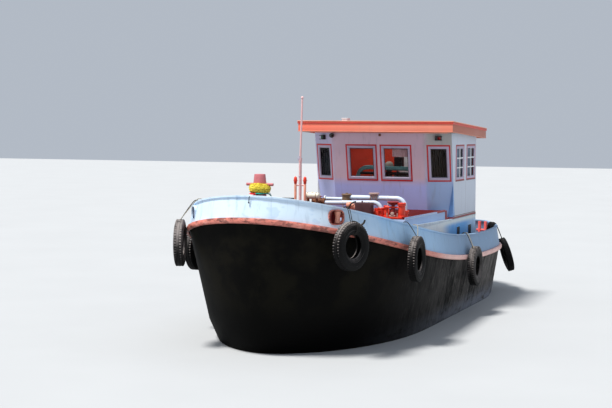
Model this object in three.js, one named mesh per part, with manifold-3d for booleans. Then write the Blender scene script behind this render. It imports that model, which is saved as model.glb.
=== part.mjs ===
// River tug, in millimetres. X runs forward, Y to port and Z up. The origin is amidships on the
// centreline, at the waterline.
import * as THREE from 'three';
import { mergeVertices } from 'three/addons/utils/BufferGeometryUtils.js';
import Module from 'manifold-3d';

const wasm = await Module();
wasm.setup();

// Driving dimensions

const GAP = 0.3; // between pieces that touch
const RUNNING_GAP = 6; // between pieces that move past each other
const PAST = 200; // how far a cutting body reaches past what it cuts
const FAR = 9000; // beyond every piece
const DEG = Math.PI / 180;

// Hull rings, from the deck's edge down to the keel. Each is a plan curve: straight sides between
// aftShoulder and foreShoulder, a rounded stern end and a rounded bow end.
const HULL_STEPS = 72;
const DECK = {
  half: 2478, stern: -7200, aftShoulder: -2400, foreShoulder: 2110, bow: 7220,
  sternPower: 2.33, sternRoot: 2.04, bowPower: 2.84, bowRoot: 2.02, height: sheer,
};
const CHINE = {
  half: 2200, stern: -7000, aftShoulder: -3000, foreShoulder: 1700, bow: 6930,
  sternPower: 2.3, sternRoot: 2.0, bowPower: 2.6, bowRoot: 1.8, height: chineHeight,
};
const BILGE = {
  half: 1900, stern: -5300, aftShoulder: -2600, foreShoulder: 1700, bow: 6430,
  sternPower: 2.2, sternRoot: 1.7, bowPower: 2.6, bowRoot: 1.7, height: bilgeHeight,
};
const KEEL = {
  half: 420, stern: -4400, aftShoulder: -2000, foreShoulder: 1200, bow: 5300,
  sternPower: 2, sternRoot: 1.6, bowPower: 2, bowRoot: 1.6, height: () => KEEL_Z,
};
const KEEL_Z = -1300;
const SHEER_LOW = { x: -2630, z: 1382, fore: 0.014, aft: -0.006 }; // metres per square metre
const HEEL = { aft: -6450, fore: -4300, half: 70, height: 110 };
const DEADWOOD = { aft: -4600, fore: -3500, half: 70, top: -300 };

const STRAKE = { out: 60, high: 112 };
const BULWARK = {
  high: 485, plate: 30, capWide: 90, capHigh: 30, lean: 80, inset: 4, drop: 0.013, dropFrom: 2500,
  sternRise: 78, riseFrom: -5200, riseRun: 1300,
};
const BOW_BREAK = 4000; // where the bow bulwark ends
const STERN_BREAK = -5300; // where the stern bulwark begins
const FAIRLEAD = { x: 6350, above: 228, wide: 310, high: 248, corner: 95, rim: 24, deep: 70 };

// Casing below the wheelhouse, and its hatch
const CASING = { fore: 2420, aft: -3760, half: 1800, top: 2215, wall: 40, below: 1000 };
const COAMING = { fore: 2360, aft: -1160, half: 1700, top: 2440 };
const HATCH = { fore: 1500, aft: -560, half: 700, lid: 35, lap: 50 };

// Wheelhouse
const FLOOR_Z = CASING.top + GAP;
const WALL = 60;
const HOUSE = { front: -1020, centreHalf: 1213, half: 1805, facetDeep: 362, aft: -3705, top: 4353 };
const SILL = 3183;
const HEAD = 4028;
const RAKE = 0.196;
const CENTRE_PANE = { inner: 75, wide: 753 };
const FACET_PANE = { from: 0.11, to: 0.883 };
const SIDE_PANES = [
  { name: 'fore', fore: -1640, aft: -2397 },
  { name: 'aft', fore: -2722, aft: -3560 },
];
const PANE = { thick: 10, set: 25 }; // set behind the wall's outer face
const DOOR = { half: 330, top: 4080, thick: 45, lap: 30, sill: 60, handleZ: 3220 };
const ROOF = {
  fore: -665, aft: -4120, port: 1966, starboard: -2076, top: 4638, drop: 160, edge: 259, rim: 40, ceiling: 60,
};
const STEPS = { half: 330, count: 3, tread: 260, below: 1000 };

// Inside the wheelhouse
const CONSOLE = { fore: -1500, aft: -1900, half: 620, top: 3080 };
const WHEEL = { radius: 300, tube: 16, x: -2010, z: 2970, spoke: 11, hub: 45 };
const SEAT = { x: -2760, half: 260, high: 480, post: 70, pad: 90, back: 560, backDeep: 70 };

// Deck gear
const BOLLARD = {
  x: 6545, radius: 132, topRadius: 108, top: 3555,
  barZ: 3352, barRadius: 29, barHalf: 285, base: 190, baseHigh: 60,
};
const MAST = {
  x: 4400, radius: 31, pivotZ: 3250, pin: 16,
  collarZ: 3790, collarRadius: 38, collarHalf: 40, tipRadius: 18, top: 5100, ball: 30, lean: 1.6,
};
const POST = { y: 108, radius: 24, top: 3390, base: 60, bulb: 31, footX: 150, footY: 240 };
// Pump manifold, its pipes and the winch stand on the coaming ahead of the hatch
const MANIFOLD = { x: 2020, from: 1110, to: 1560, half: 130, base: 110, barrel: 85, flange: 125, rim: 25 };
const PIPES = [
  { name: 'pipe_fore', x: 1990, from: -340, to: 1025, above: 330, radius: 42, bend: 90 },
  { name: 'pipe_aft', x: 1740, from: 130, to: 1510, above: 455, radius: 48, bend: 100 },
];
// The aft pipe goes on to starboard a little lower, past a valve
const LOW_PIPE = { from: -430, above: 385, radius: 42 };
const VALVE = { radius: 105, down: 110, up: 75 };
const WINCH = { x: 2200, from: 445, to: 880, half: 140, base: 50, drum: 162, cheek: 20 };
// Twin bitts on each quarter: two posts on one foot, with a bar through both
const AFT_BITT = {
  x: -5450, y: 1590, apart: 85, radius: 42, high: 555, barDown: 240, barHalf: 175, barRadius: 28,
  footX: 110, footY: 190, foot: 40,
};

// Fender tyres: place along the boat, height of the centre, side, the way the face is turned from
// straight abeam towards the bow, and how far the foot swings out, both in degrees
const TYRE = { radius: 475, bead: 238, wide: 190, pieces: 24, steps: 16, reach: 600 };
const TYRES = [
  { name: 'tyre_port_bow', x: 6380, z: 2190, side: 1, turn: 20, lean: 0 },
  { name: 'tyre_port_mid', x: 4350, z: 1785, side: 1, turn: -2, lean: 0 },
  { name: 'tyre_port_aft', x: -400, z: 1180, side: 1, turn: 0, lean: 0 },
  { name: 'tyre_port_quarter', x: -5480, z: 985, side: 1, turn: -22, lean: 17 },
  { name: 'tyre_starboard_bow', x: 6480, z: 2130, side: -1, turn: 20, lean: 0 },
  { name: 'tyre_starboard_mid', x: 4100, z: 1775, side: -1, turn: 0, lean: 0 },
  { name: 'tyre_starboard_aft', x: -550, z: 1150, side: -1, turn: 0, lean: 0 },
];

// Engine, shaft, propeller and rudder
const ENGINE = { fore: 1500, aft: -100, half: 450, floor: -700, top: 650 };
const PIT = { fore: 1900, aft: -500, half: 650 };
const SHAFT = { z: -700, radius: 45, fore: -4500, aft: -5560 };
const PROPELLER = { x: -5600, hub: 95, hubLong: 190, radius: 440, blades: 4, pitch: 35.5, thick: 26 };
const RUDDER = {
  stockX: -6060, stock: 48, fore: -5900, aft: -6560, top: -120, foot: -1170, thick: 60, stockDown: 400,
};
const BORE_SLACK = 1; // round the shaft and the rudder's stock

// Shape helpers

function sheer(x) {
  const run = (x - SHEER_LOW.x) / 1000;
  const rate = run > 0 ? SHEER_LOW.fore : SHEER_LOW.aft;
  return SHEER_LOW.z + rate * run * run * 1000;
}

function ramp(x, from, to, power) {
  const part = Math.min(Math.max((x - from) / (to - from), 0), 1);
  return Math.pow(part, power);
}

function chineHeight(x) {
  return 40 + 860 * ramp(x, 2600, 6900, 1.7) + 380 * ramp(x, -4300, -7000, 1.6);
}

function bilgeHeight(x) {
  return -640 + 440 * ramp(x, 2000, 6430, 1.8) + 480 * ramp(x, -3000, -5300, 1.6);
}

// Half breadth of a plan curve at x
function halfBreadth(ring, x) {
  const bow = Math.min(Math.max((x - ring.foreShoulder) / (ring.bow - ring.foreShoulder), 0), 1);
  const stern = Math.min(Math.max((ring.aftShoulder - x) / (ring.aftShoulder - ring.stern), 0), 1);
  const bowPart = Math.pow(1 - Math.pow(bow, ring.bowPower), 1 / ring.bowRoot);
  const sternPart = Math.pow(1 - Math.pow(stern, ring.sternPower), 1 / ring.sternRoot);
  return ring.half * bowPart * sternPart;
}

// Points of a plan curve from the bow, round by port to the stern and back by starboard
function planPoints(ring, steps = HULL_STEPS) {
  const middle = (ring.bow + ring.stern) / 2;
  const reach = (ring.bow - ring.stern) / 2;
  const points = [];
  for (let i = 0; i < steps; i += 1) {
    const angle = (2 * Math.PI * i) / steps;
    const x = middle + reach * Math.cos(angle);
    const atEnd = i === 0 || i * 2 === steps;
    const y = atEnd ? 0 : Math.sign(Math.sin(angle)) * halfBreadth(ring, x);
    points.push(new THREE.Vector2(x, y));
  }
  return points;
}

// Outward normals of a closed plan curve that runs anticlockwise
function planNormals(points) {
  return points.map((point, i) => {
    const before = points[(i + points.length - 1) % points.length];
    const after = points[(i + 1) % points.length];
    return new THREE.Vector2(after.y - before.y, before.x - after.x).normalize();
  });
}

function geometryFrom(positions, indices) {
  const geometry = new THREE.BufferGeometry();
  geometry.setAttribute('position', new THREE.Float32BufferAttribute(positions, 3));
  geometry.setIndex(indices);
  return geometry;
}

// Closed body through stacked rings of equal length, the lowest first
function loft(rings) {
  const count = rings[0].length;
  const positions = rings.flat(2);
  const indices = [];
  for (let level = 0; level + 1 < rings.length; level += 1) {
    for (let i = 0; i < count; i += 1) {
      const next = (i + 1) % count;
      const a = level * count + i;
      const b = level * count + next;
      indices.push(a, b, b + count, a, b + count, a + count);
    }
  }
  const top = (rings.length - 1) * count;
  for (let i = 0; i * 2 < count; i += 1) {
    const near = [i, (count - i) % count];
    const far = [i + 1, (2 * count - i - 1) % count];
    if (near[0] !== near[1]) {
      indices.push(top + near[0], top + far[0], top + near[1]);
      indices.push(near[0], near[1], far[0]);
    }
    if (far[0] !== far[1]) {
      indices.push(top + near[1], top + far[0], top + far[1]);
      indices.push(near[1], far[1], far[0]);
    }
  }
  return geometryFrom(positions, indices);
}

// Closed belt that follows the deck's edge. Each corner is its distance outward and its height
// above the sheer, in anticlockwise order seen from ahead on the port side. A rise can change
// along the boat.
function belt(cornersAt) {
  const plan = planPoints(DECK);
  const normals = planNormals(plan);
  const positions = [];
  plan.forEach((point, i) => {
    cornersAt(point.x).forEach(([out, up]) => {
      const x = point.x + normals[i].x * out;
      positions.push(x, point.y + normals[i].y * out, sheer(point.x) + up);
    });
  });
  const count = cornersAt(0).length;
  const indices = [];
  for (let i = 0; i < plan.length; i += 1) {
    const next = (i + 1) % plan.length;
    for (let j = 0; j < count; j += 1) {
      const k = (j + 1) % count;
      const a = i * count + j;
      const b = i * count + k;
      const c = next * count + k;
      const d = next * count + j;
      indices.push(a, c, b, a, d, c);
    }
  }
  return geometryFrom(positions, indices);
}

function solid(geometry) {
  geometry.deleteAttribute('normal');
  geometry.deleteAttribute('uv');
  const merged = mergeVertices(geometry, 1e-3);
  const triVerts = new Uint32Array(merged.index.array);
  const vertProperties = new Float32Array(merged.attributes.position.array);
  return new wasm.Manifold(new wasm.Mesh({ numProp: 3, vertProperties, triVerts }));
}

function geometryOf(body) {
  const mesh = body.getMesh();
  return geometryFrom(Array.from(mesh.vertProperties), Array.from(mesh.triVerts));
}

function box(x0, x1, y0, y1, z0, z1) {
  const geometry = new THREE.BoxGeometry(x1 - x0, y1 - y0, z1 - z0);
  geometry.translate((x0 + x1) / 2, (y0 + y1) / 2, (z0 + z1) / 2);
  return solid(geometry);
}

// Upright cylinder between two heights
function post(x, y, radius, bottom, top, sides = 20, topRadius = radius) {
  const geometry = new THREE.CylinderGeometry(topRadius, radius, top - bottom, sides);
  geometry.rotateX(Math.PI / 2);
  geometry.translate(x, y, (bottom + top) / 2);
  return solid(geometry);
}

// Level cylinder along the X or Y axis, between two places on it
function bar(axis, from, to, first, z, radius, sides = 16) {
  const geometry = new THREE.CylinderGeometry(radius, radius, to - from, sides);
  if (axis === 'x') {
    geometry.rotateZ(-Math.PI / 2);
    geometry.translate((from + to) / 2, first, z);
  } else {
    geometry.translate(first, (from + to) / 2, z);
  }
  return solid(geometry);
}

function ball(x, y, z, radius) {
  const geometry = new THREE.SphereGeometry(radius, 16, 10);
  geometry.translate(x, y, z);
  return solid(geometry);
}

// Pipe through points, with round bends made by a smooth path
function pipe(points, radius, bend, sides = 12) {
  const path = new THREE.CurvePath();
  const spots = points.map(([x, y, z]) => new THREE.Vector3(x, y, z));
  let start = spots[0];
  for (let i = 1; i + 1 < spots.length; i += 1) {
    const before = spots[i - 1].clone().sub(spots[i]).setLength(bend).add(spots[i]);
    const after = spots[i + 1].clone().sub(spots[i]).setLength(bend).add(spots[i]);
    path.add(new THREE.LineCurve3(start, before));
    path.add(new THREE.QuadraticBezierCurve3(before, spots[i], after));
    start = after;
  }
  path.add(new THREE.LineCurve3(start, spots[spots.length - 1]));
  const round = new THREE.Shape();
  round.absarc(0, 0, radius, 0, 2 * Math.PI, false);
  const steps = Math.max(8, Math.round(path.getLength() / (radius * 1.2)));
  return solid(new THREE.ExtrudeGeometry(round, {
    steps, curveSegments: sides / 2, bevelEnabled: false, extrudePath: path,
  }));
}

const root = new THREE.Group();

function add(name, body, colour, roughness = 0.6, metalness = 0.1) {
  const material = new THREE.MeshStandardMaterial({ color: colour, roughness, metalness });
  const mesh = new THREE.Mesh(geometryOf(body), material);
  mesh.name = name;
  root.add(mesh);
  return mesh;
}

const COLOUR = {
  hull: 0x15161a, strake: 0xd0604e, bulwark: 0xa9c9e6, deck: 0x6e2420, wall: 0xe2e0ec,
  roof: 0xec6b54, glass: 0x2b2f36, machinery: 0xdb4f33, pipe: 0xeeeeea, brown: 0x4a2c22,
  rubber: 0x17171a, bronze: 0xa9803f, steel: 0x6b6e72, wood: 0x6a4128, mast: 0xd9838a,
};

// Hull

function ringAt(ring) {
  return planPoints(ring).map((point) => [point.x, point.y, ring.height(point.x)]);
}

const hullShell = solid(loft([KEEL, BILGE, CHINE, DECK].map(ringAt)));
const hullRaised = hullShell.translate([0, 0, GAP]);

// A body that stands on the deck, cut to the deck's sheer
function onDeck(body) {
  return body.subtract(hullRaised);
}

const heel = box(HEEL.aft, HEEL.fore, -HEEL.half, HEEL.half, KEEL_Z, KEEL_Z + HEEL.height);
const deadwood = box(DEADWOOD.aft, DEADWOOD.fore, -DEADWOOD.half, DEADWOOD.half, KEEL_Z, DEADWOOD.top);
const shaftBore = bar('x', SHAFT.aft - PAST, SHAFT.fore, 0, SHAFT.z, SHAFT.radius + BORE_SLACK, 24);
const pit = box(PIT.aft, PIT.fore, -PIT.half, PIT.half, ENGINE.floor, FAR);
const stockTop = sheer(RUDDER.stockX) - RUDDER.stockDown;
const stockBore = post(RUDDER.stockX, 0, RUDDER.stock + BORE_SLACK, RUDDER.top - PAST / 2, stockTop + 50, 24);
const hull = hullShell.add(heel).add(deadwood).subtract(shaftBore).subtract(pit).subtract(stockBore);
add('hull', hull, COLOUR.hull, 0.7, 0.2);

const strake = solid(belt(() => [
  [GAP, 0], [GAP, -STRAKE.high], [STRAKE.out * 0.7, -STRAKE.high], [STRAKE.out, -STRAKE.high * 0.72],
  [STRAKE.out, -STRAKE.high * 0.28], [STRAKE.out * 0.7, 0],
])).subtract(hullShell);
add('rubbing_strake', strake, COLOUR.strake);

// Bulwark

// Lower towards the bow, and higher round the stern
function bulwarkHigh(x) {
  const rise = BULWARK.sternRise * THREE.MathUtils.smoothstep(BULWARK.riseFrom - x, 0, BULWARK.riseRun);
  return BULWARK.high - BULWARK.drop * Math.max(x - BULWARK.dropFrom, 0) + rise;
}

function bulwarkRing() {
  const inner = -BULWARK.inset - BULWARK.plate;
  const outer = -BULWARK.inset;
  const wide = (BULWARK.capWide - BULWARK.plate) / 2;
  return solid(belt((x) => {
    const high = bulwarkHigh(x);
    const under = high - BULWARK.capHigh;
    return [
      [outer, GAP], [outer - BULWARK.lean, under], [outer - BULWARK.lean + wide, under],
      [outer - BULWARK.lean + wide, high], [inner - BULWARK.lean - wide, high],
      [inner - BULWARK.lean - wide, under], [inner - BULWARK.lean, under], [inner, GAP],
    ];
  }));
}

function planTangent(x) {
  const step = 20;
  const rise = halfBreadth(DECK, x + step) - halfBreadth(DECK, x - step);
  return Math.atan2(rise, 2 * step);
}

// Outline of a rectangle with round corners, about its middle
function roundedShape(halfWide, halfHigh, corner) {
  const shape = new THREE.Shape();
  const [wide, high] = [halfWide - corner, halfHigh - corner];
  [[wide, high], [-wide, high], [-wide, -high], [wide, -high]].forEach(([x, y], i) => {
    shape.absarc(x, y, corner, (i * Math.PI) / 2, ((i + 1) * Math.PI) / 2, false);
  });
  return shape;
}

// Plug set square to the bulwark at x, on one side
function fairleadPlug(side, extra, deep) {
  const shape = roundedShape(FAIRLEAD.wide / 2 + extra, FAIRLEAD.high / 2 + extra, FAIRLEAD.corner + extra);
  const geometry = new THREE.ExtrudeGeometry(shape, { depth: deep, curveSegments: 6, bevelEnabled: false });
  geometry.translate(0, 0, -deep / 2);
  geometry.rotateX(Math.PI / 2);
  geometry.rotateZ(planTangent(FAIRLEAD.x));
  const lean = (BULWARK.lean * FAIRLEAD.above) / bulwarkHigh(FAIRLEAD.x);
  const inset = BULWARK.inset + BULWARK.plate / 2 + lean;
  const y = halfBreadth(DECK, FAIRLEAD.x) - inset / Math.cos(planTangent(FAIRLEAD.x));
  geometry.translate(FAIRLEAD.x, y, sheer(FAIRLEAD.x) + FAIRLEAD.above);
  const plug = solid(geometry);
  return side > 0 ? plug : plug.mirror([0, 1, 0]);
}

let bulwark = bulwarkRing();
for (const side of [1, -1]) {
  bulwark = bulwark.subtract(fairleadPlug(side, FAIRLEAD.rim + GAP, 2 * PAST));
  const rim = fairleadPlug(side, FAIRLEAD.rim, FAIRLEAD.deep).subtract(fairleadPlug(side, 0, 2 * PAST));
  add(side > 0 ? 'fairlead_port' : 'fairlead_starboard', rim, COLOUR.strake);
}
const bulwarkCuts = [
  { name: 'bulwark_bow', zone: box(BOW_BREAK + GAP, FAR, -FAR, FAR, 0, FAR) },
  { name: 'bulwark_port', zone: box(STERN_BREAK + GAP, BOW_BREAK, 0, FAR, 0, FAR) },
  { name: 'bulwark_starboard', zone: box(STERN_BREAK + GAP, BOW_BREAK, -FAR, 0, 0, FAR) },
  { name: 'bulwark_stern', zone: box(-FAR, STERN_BREAK, -FAR, FAR, 0, FAR) },
];
for (const { name, zone } of bulwarkCuts) {
  add(name, onDeck(bulwark.intersect(zone)), COLOUR.bulwark, 0.55);
}

// Casing, coaming and hatch lids

const casingOuter = box(CASING.aft, CASING.fore, -CASING.half, CASING.half, CASING.below, CASING.top);
const casingInner = box(
  CASING.aft + CASING.wall, CASING.fore - CASING.wall,
  -CASING.half + CASING.wall, CASING.half - CASING.wall, 0, CASING.top - CASING.wall,
);
const coamingOuter = box(
  COAMING.aft, COAMING.fore, -COAMING.half, COAMING.half, CASING.top - CASING.wall, COAMING.top,
);
const hatchWay = box(HATCH.aft, HATCH.fore, -HATCH.half, HATCH.half, CASING.top - PAST, FAR);
const casing = casingOuter.subtract(casingInner).add(coamingOuter).subtract(hatchWay);
add('casing', onDeck(casing), COLOUR.wall);

const lidBottom = COAMING.top + GAP;
const lids = [
  { name: 'hatch_lid_port', from: RUNNING_GAP / 2, to: HATCH.half + HATCH.lap },
  { name: 'hatch_lid_starboard', from: -HATCH.half - HATCH.lap, to: -RUNNING_GAP / 2 },
];
for (const { name, from, to } of lids) {
  const [aft, fore] = [HATCH.aft - HATCH.lap, HATCH.fore + HATCH.lap];
  add(name, box(aft, fore, from, to, lidBottom, lidBottom + HATCH.lid), COLOUR.deck);
}

// Wheelhouse

const wallTop = HOUSE.top - GAP;
const sideInner = HOUSE.half - WALL;
const facetWide = HOUSE.half - HOUSE.centreHalf;
const facetSlope = Math.atan2(HOUSE.facetDeep, facetWide);
const facetLong = Math.hypot(HOUSE.facetDeep, facetWide);
const shellAft = HOUSE.front - 3000;

// How far forward of its place at the sill the raked front stands, at a height
function rakeAt(z) {
  return (z - SILL) * RAKE;
}

// Block with the raked front's outline, set back by an inset
function rakedBlock(inset) {
  const front = HOUSE.front - inset;
  const corner = HOUSE.centreHalf - inset * Math.tan(facetSlope / 2);
  const wide = HOUSE.half - corner + PAST;
  const facetAft = front - wide * Math.tan(facetSlope);
  const outline = [
    [front, -corner], [front, corner], [facetAft, corner + wide],
    [shellAft, corner + wide], [shellAft, -corner - wide], [facetAft, -corner - wide],
  ];
  const levels = [FLOOR_Z - 1, HOUSE.top + 1];
  const positions = levels.flatMap((z) => outline.flatMap(([x, y]) => [x + rakeAt(z), y, z]));
  const count = outline.length;
  const indices = [];
  for (let i = 0; i < count; i += 1) {
    const next = (i + 1) % count;
    indices.push(i, next, next + count, i, next + count, i + count);
    if (i > 0 && next > 0) {
      indices.push(0, next, i, count, count + i, count + next);
    }
  }
  return solid(geometryFrom(positions, indices));
}

const frontShell = rakedBlock(0).subtract(rakedBlock(WALL));
const frontZone = (y0, y1) => box(HOUSE.front - 900, 0, y0, y1, FLOOR_Z, wallTop);

// Window opening or pane in a facet, as a slab through the wall at its raked place
function facetSlab(side, shrink, front, back) {
  const from = FACET_PANE.from * facetLong + shrink;
  const to = FACET_PANE.to * facetLong - shrink;
  const shape = new THREE.Shape();
  shape.moveTo(from, SILL + shrink);
  shape.lineTo(to, SILL + shrink);
  shape.lineTo(to, HEAD - shrink);
  shape.lineTo(from, HEAD - shrink);
  const geometry = new THREE.ExtrudeGeometry(shape, { depth: front - back, bevelEnabled: false });
  // The shape's X runs along the facet away from the centre, its Y is up and its depth points forward
  const along = new THREE.Vector3(-Math.sin(facetSlope), Math.cos(facetSlope), 0);
  const up = new THREE.Vector3(RAKE, 0, 1);
  const out = new THREE.Vector3(Math.cos(facetSlope), Math.sin(facetSlope), 0);
  const place = new THREE.Matrix4().makeBasis(along, up, out);
  place.setPosition(
    HOUSE.front + back * out.x - SILL * RAKE, HOUSE.centreHalf + back * out.y, 0,
  );
  geometry.applyMatrix4(place);
  const slab = placed(geometry, place);
  return side > 0 ? slab : slab.mirror([0, 1, 0]);
}

function placed(geometry, matrix) {
  if (matrix.determinant() < 0) {
    const index = mergeVertices(stripped(geometry), 1e-3);
    const order = Array.from(index.index.array);
    for (let i = 0; i < order.length; i += 3) {
      [order[i], order[i + 1]] = [order[i + 1], order[i]];
    }
    return solid(geometryFrom(Array.from(index.attributes.position.array), order));
  }
  return solid(geometry);
}

function stripped(geometry) {
  geometry.deleteAttribute('normal');
  geometry.deleteAttribute('uv');
  return geometry;
}

// Window opening or pane in the centre front, raked with the wall
function centreSlab(side, shrink, front, back) {
  const inner = CENTRE_PANE.inner + shrink;
  const outer = CENTRE_PANE.inner + CENTRE_PANE.wide - shrink;
  const positions = [];
  for (const z of [SILL + shrink, HEAD - shrink]) {
    for (const [depth, y] of [[front, inner], [front, outer], [back, outer], [back, inner]]) {
      positions.push(HOUSE.front + rakeAt(z) + depth, y, z);
    }
  }
  const indices = [];
  for (let i = 0; i < 4; i += 1) {
    const next = (i + 1) % 4;
    indices.push(i, next, next + 4, i, next + 4, i + 4);
  }
  indices.push(0, 2, 1, 0, 3, 2, 4, 5, 6, 4, 6, 7);
  const slab = solid(geometryFrom(positions, indices));
  return side > 0 ? slab : slab.mirror([0, 1, 0]);
}

let front = frontShell.intersect(frontZone(-HOUSE.centreHalf, HOUSE.centreHalf));
for (const side of [1, -1]) {
  const hand = side > 0 ? 'port' : 'starboard';
  const zone = side > 0
    ? frontZone(HOUSE.centreHalf + GAP, sideInner - GAP)
    : frontZone(-sideInner + GAP, -HOUSE.centreHalf - GAP);
  const facet = frontShell.intersect(zone).subtract(facetSlab(side, 0, PAST, -PAST));
  add(`house_facet_${hand}`, facet, COLOUR.wall);
  front = front.subtract(centreSlab(side, 0, PAST, -PAST));
}
add('house_front', front, COLOUR.wall);

const paneBack = -PANE.set - PANE.thick;
for (const side of [1, -1]) {
  const hand = side > 0 ? 'port' : 'starboard';
  add(`pane_front_${hand}`, centreSlab(side, GAP, -PANE.set, paneBack), COLOUR.glass, 0.1);
  add(`pane_facet_${hand}`, facetSlab(side, GAP, -PANE.set, paneBack), COLOUR.glass, 0.1);
}

// The side walls end at the raked front
const sideZone = box(HOUSE.aft, 0, -FAR, FAR, FLOOR_Z, wallTop).intersect(rakedBlock(0));
for (const side of [1, -1]) {
  const hand = side > 0 ? 'port' : 'starboard';
  const [y0, y1] = side > 0 ? [sideInner, HOUSE.half] : [-HOUSE.half, -sideInner];
  let wall = sideZone.intersect(box(HOUSE.aft, 0, y0, y1, FLOOR_Z, wallTop));
  for (const { name, fore, aft } of SIDE_PANES) {
    wall = wall.subtract(box(aft, fore, y0 - PAST, y1 + PAST, SILL, HEAD));
    const outer = HOUSE.half - PANE.set;
    const pane = box(aft + GAP, fore - GAP, outer - PANE.thick, outer, SILL + GAP, HEAD - GAP);
    add(`pane_${hand}_${name}`, side > 0 ? pane : pane.mirror([0, 1, 0]), COLOUR.glass, 0.1);
  }
  add(`house_side_${hand}`, wall, COLOUR.wall);
}

const aftInner = HOUSE.aft + WALL;
const doorWay = box(HOUSE.aft - PAST, aftInner + PAST, -DOOR.half, DOOR.half, FLOOR_Z + DOOR.sill, DOOR.top);
const aftWall = box(HOUSE.aft, aftInner, -sideInner + GAP, sideInner - GAP, FLOOR_Z, wallTop);
add('house_aft', aftWall.subtract(doorWay), COLOUR.wall);

// The door laps the aft wall from outside and swings aft on its port edge
const doorFace = HOUSE.aft - GAP;
const doorEdge = DOOR.half + DOOR.lap;
const doorLeaf = box(
  doorFace - DOOR.thick, doorFace, -doorEdge, doorEdge, FLOOR_Z + DOOR.sill - DOOR.lap, DOOR.top + DOOR.lap,
);
const doorHandle = box(
  doorFace - DOOR.thick - 50, doorFace - DOOR.thick + 1, -doorEdge + 50, -doorEdge + 80,
  DOOR.handleZ - 70, DOOR.handleZ + 70,
);
add('house_door', doorLeaf.add(doorHandle), COLOUR.wall);

// Roof, a tray that slopes down towards its aft edge and is hollow below, over the walls' tops
const roofFall = ROOF.drop / (ROOF.fore - ROOF.aft);

function roofTop(x) {
  return ROOF.top - roofFall * (ROOF.fore - x);
}

function roofBlock(inset, topDown, bottomZ) {
  const corners = [
    [ROOF.fore - inset, ROOF.starboard + inset], [ROOF.fore - inset, ROOF.port - inset],
    [ROOF.aft + inset, ROOF.port - inset], [ROOF.aft + inset, ROOF.starboard + inset],
  ];
  const low = corners.flatMap(([x, y]) => [x, y, bottomZ(x)]);
  const high = corners.flatMap(([x, y]) => [x, y, roofTop(x) - topDown]);
  const indices = [0, 2, 1, 0, 3, 2, 4, 5, 6, 4, 6, 7];
  for (let i = 0; i < 4; i += 1) {
    const next = (i + 1) % 4;
    indices.push(i, next, next + 4, i, next + 4, i + 4);
  }
  return solid(geometryFrom([...low, ...high], indices));
}

const roofOuter = roofBlock(0, 0, (x) => roofTop(x) - ROOF.edge);
const [rimStarboard, rimPort] = [ROOF.starboard + ROOF.rim, ROOF.port - ROOF.rim];
const roofHollow = roofBlock(ROOF.rim, ROOF.edge, () => SILL)
  .add(box(ROOF.aft + ROOF.rim, ROOF.fore - ROOF.rim, rimStarboard, rimPort, SILL, HOUSE.top));
const ceiling = box(
  HOUSE.aft, HOUSE.front + rakeAt(HOUSE.top), -HOUSE.half, HOUSE.half, HOUSE.top, HOUSE.top + ROOF.ceiling,
);
add('roof', roofOuter.subtract(roofHollow).add(ceiling), COLOUR.roof);

// Steps up to the door, on the aft deck
const stepRise = (FLOOR_Z - sheer(CASING.aft)) / STEPS.count;
let steps = null;
for (let i = 0; i + 1 < STEPS.count; i += 1) {
  const fore = CASING.aft - GAP;
  const aft = CASING.aft - STEPS.tread * (STEPS.count - 1 - i);
  const top = sheer(CASING.aft) + stepRise * (i + 1);
  const tread = box(aft, fore, -STEPS.half, STEPS.half, STEPS.below, top);
  steps = steps ? steps.add(tread) : tread;
}
add('steps', onDeck(steps), COLOUR.deck);

// Helm

const consoleBody = box(CONSOLE.aft, CONSOLE.fore, -CONSOLE.half, CONSOLE.half, FLOOR_Z, CONSOLE.top);
const wheelAxle = bar('x', WHEEL.x, CONSOLE.aft - GAP * 2, 0, WHEEL.z, 22, 14);
add('helm_console', consoleBody, COLOUR.wood);

const rim = new THREE.TorusGeometry(WHEEL.radius, WHEEL.tube, 10, 40);
rim.rotateY(Math.PI / 2);
rim.translate(WHEEL.x, 0, WHEEL.z);
let wheel = solid(rim).add(bar('x', WHEEL.x - 30, WHEEL.x + 30, 0, WHEEL.z, WHEEL.hub, 18));
for (let i = 0; i < 6; i += 1) {
  const spoke = post(0, 0, WHEEL.spoke, 0, WHEEL.radius, 8);
  wheel = wheel.add(spoke.rotate([i * 60, 0, 0]).translate([WHEEL.x, 0, WHEEL.z]));
}
add('steering_wheel', wheel.add(wheelAxle), COLOUR.wood);

const seatZ = FLOOR_Z + SEAT.high;
const seatAft = SEAT.x - SEAT.half;
const seatBase = post(SEAT.x, 0, SEAT.post, FLOOR_Z, seatZ, 16);
const seatPad = box(seatAft, SEAT.x + SEAT.half, -SEAT.half, SEAT.half, seatZ - 10, seatZ + SEAT.pad);
const backTop = seatZ + SEAT.back;
const seatBack = box(seatAft - SEAT.backDeep, seatAft + 10, -SEAT.half, SEAT.half, seatZ - 10, backTop);
add('helm_seat', seatBase.add(seatPad).add(seatBack), COLOUR.deck);

// Bow bollard, mast and posts

const belowDeck = 1500;
const bollard = post(BOLLARD.x, 0, BOLLARD.radius, belowDeck, BOLLARD.barZ)
  .add(post(BOLLARD.x, 0, BOLLARD.radius, BOLLARD.barZ, BOLLARD.top, 20, BOLLARD.topRadius))
  .add(bar('y', -BOLLARD.barHalf, BOLLARD.barHalf, BOLLARD.x, BOLLARD.barZ, BOLLARD.barRadius))
  .add(post(BOLLARD.x, 0, BOLLARD.base, belowDeck, sheer(BOLLARD.x) + BOLLARD.baseHigh, 24));
add('bow_bollard', onDeck(bollard), COLOUR.mast);

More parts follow.
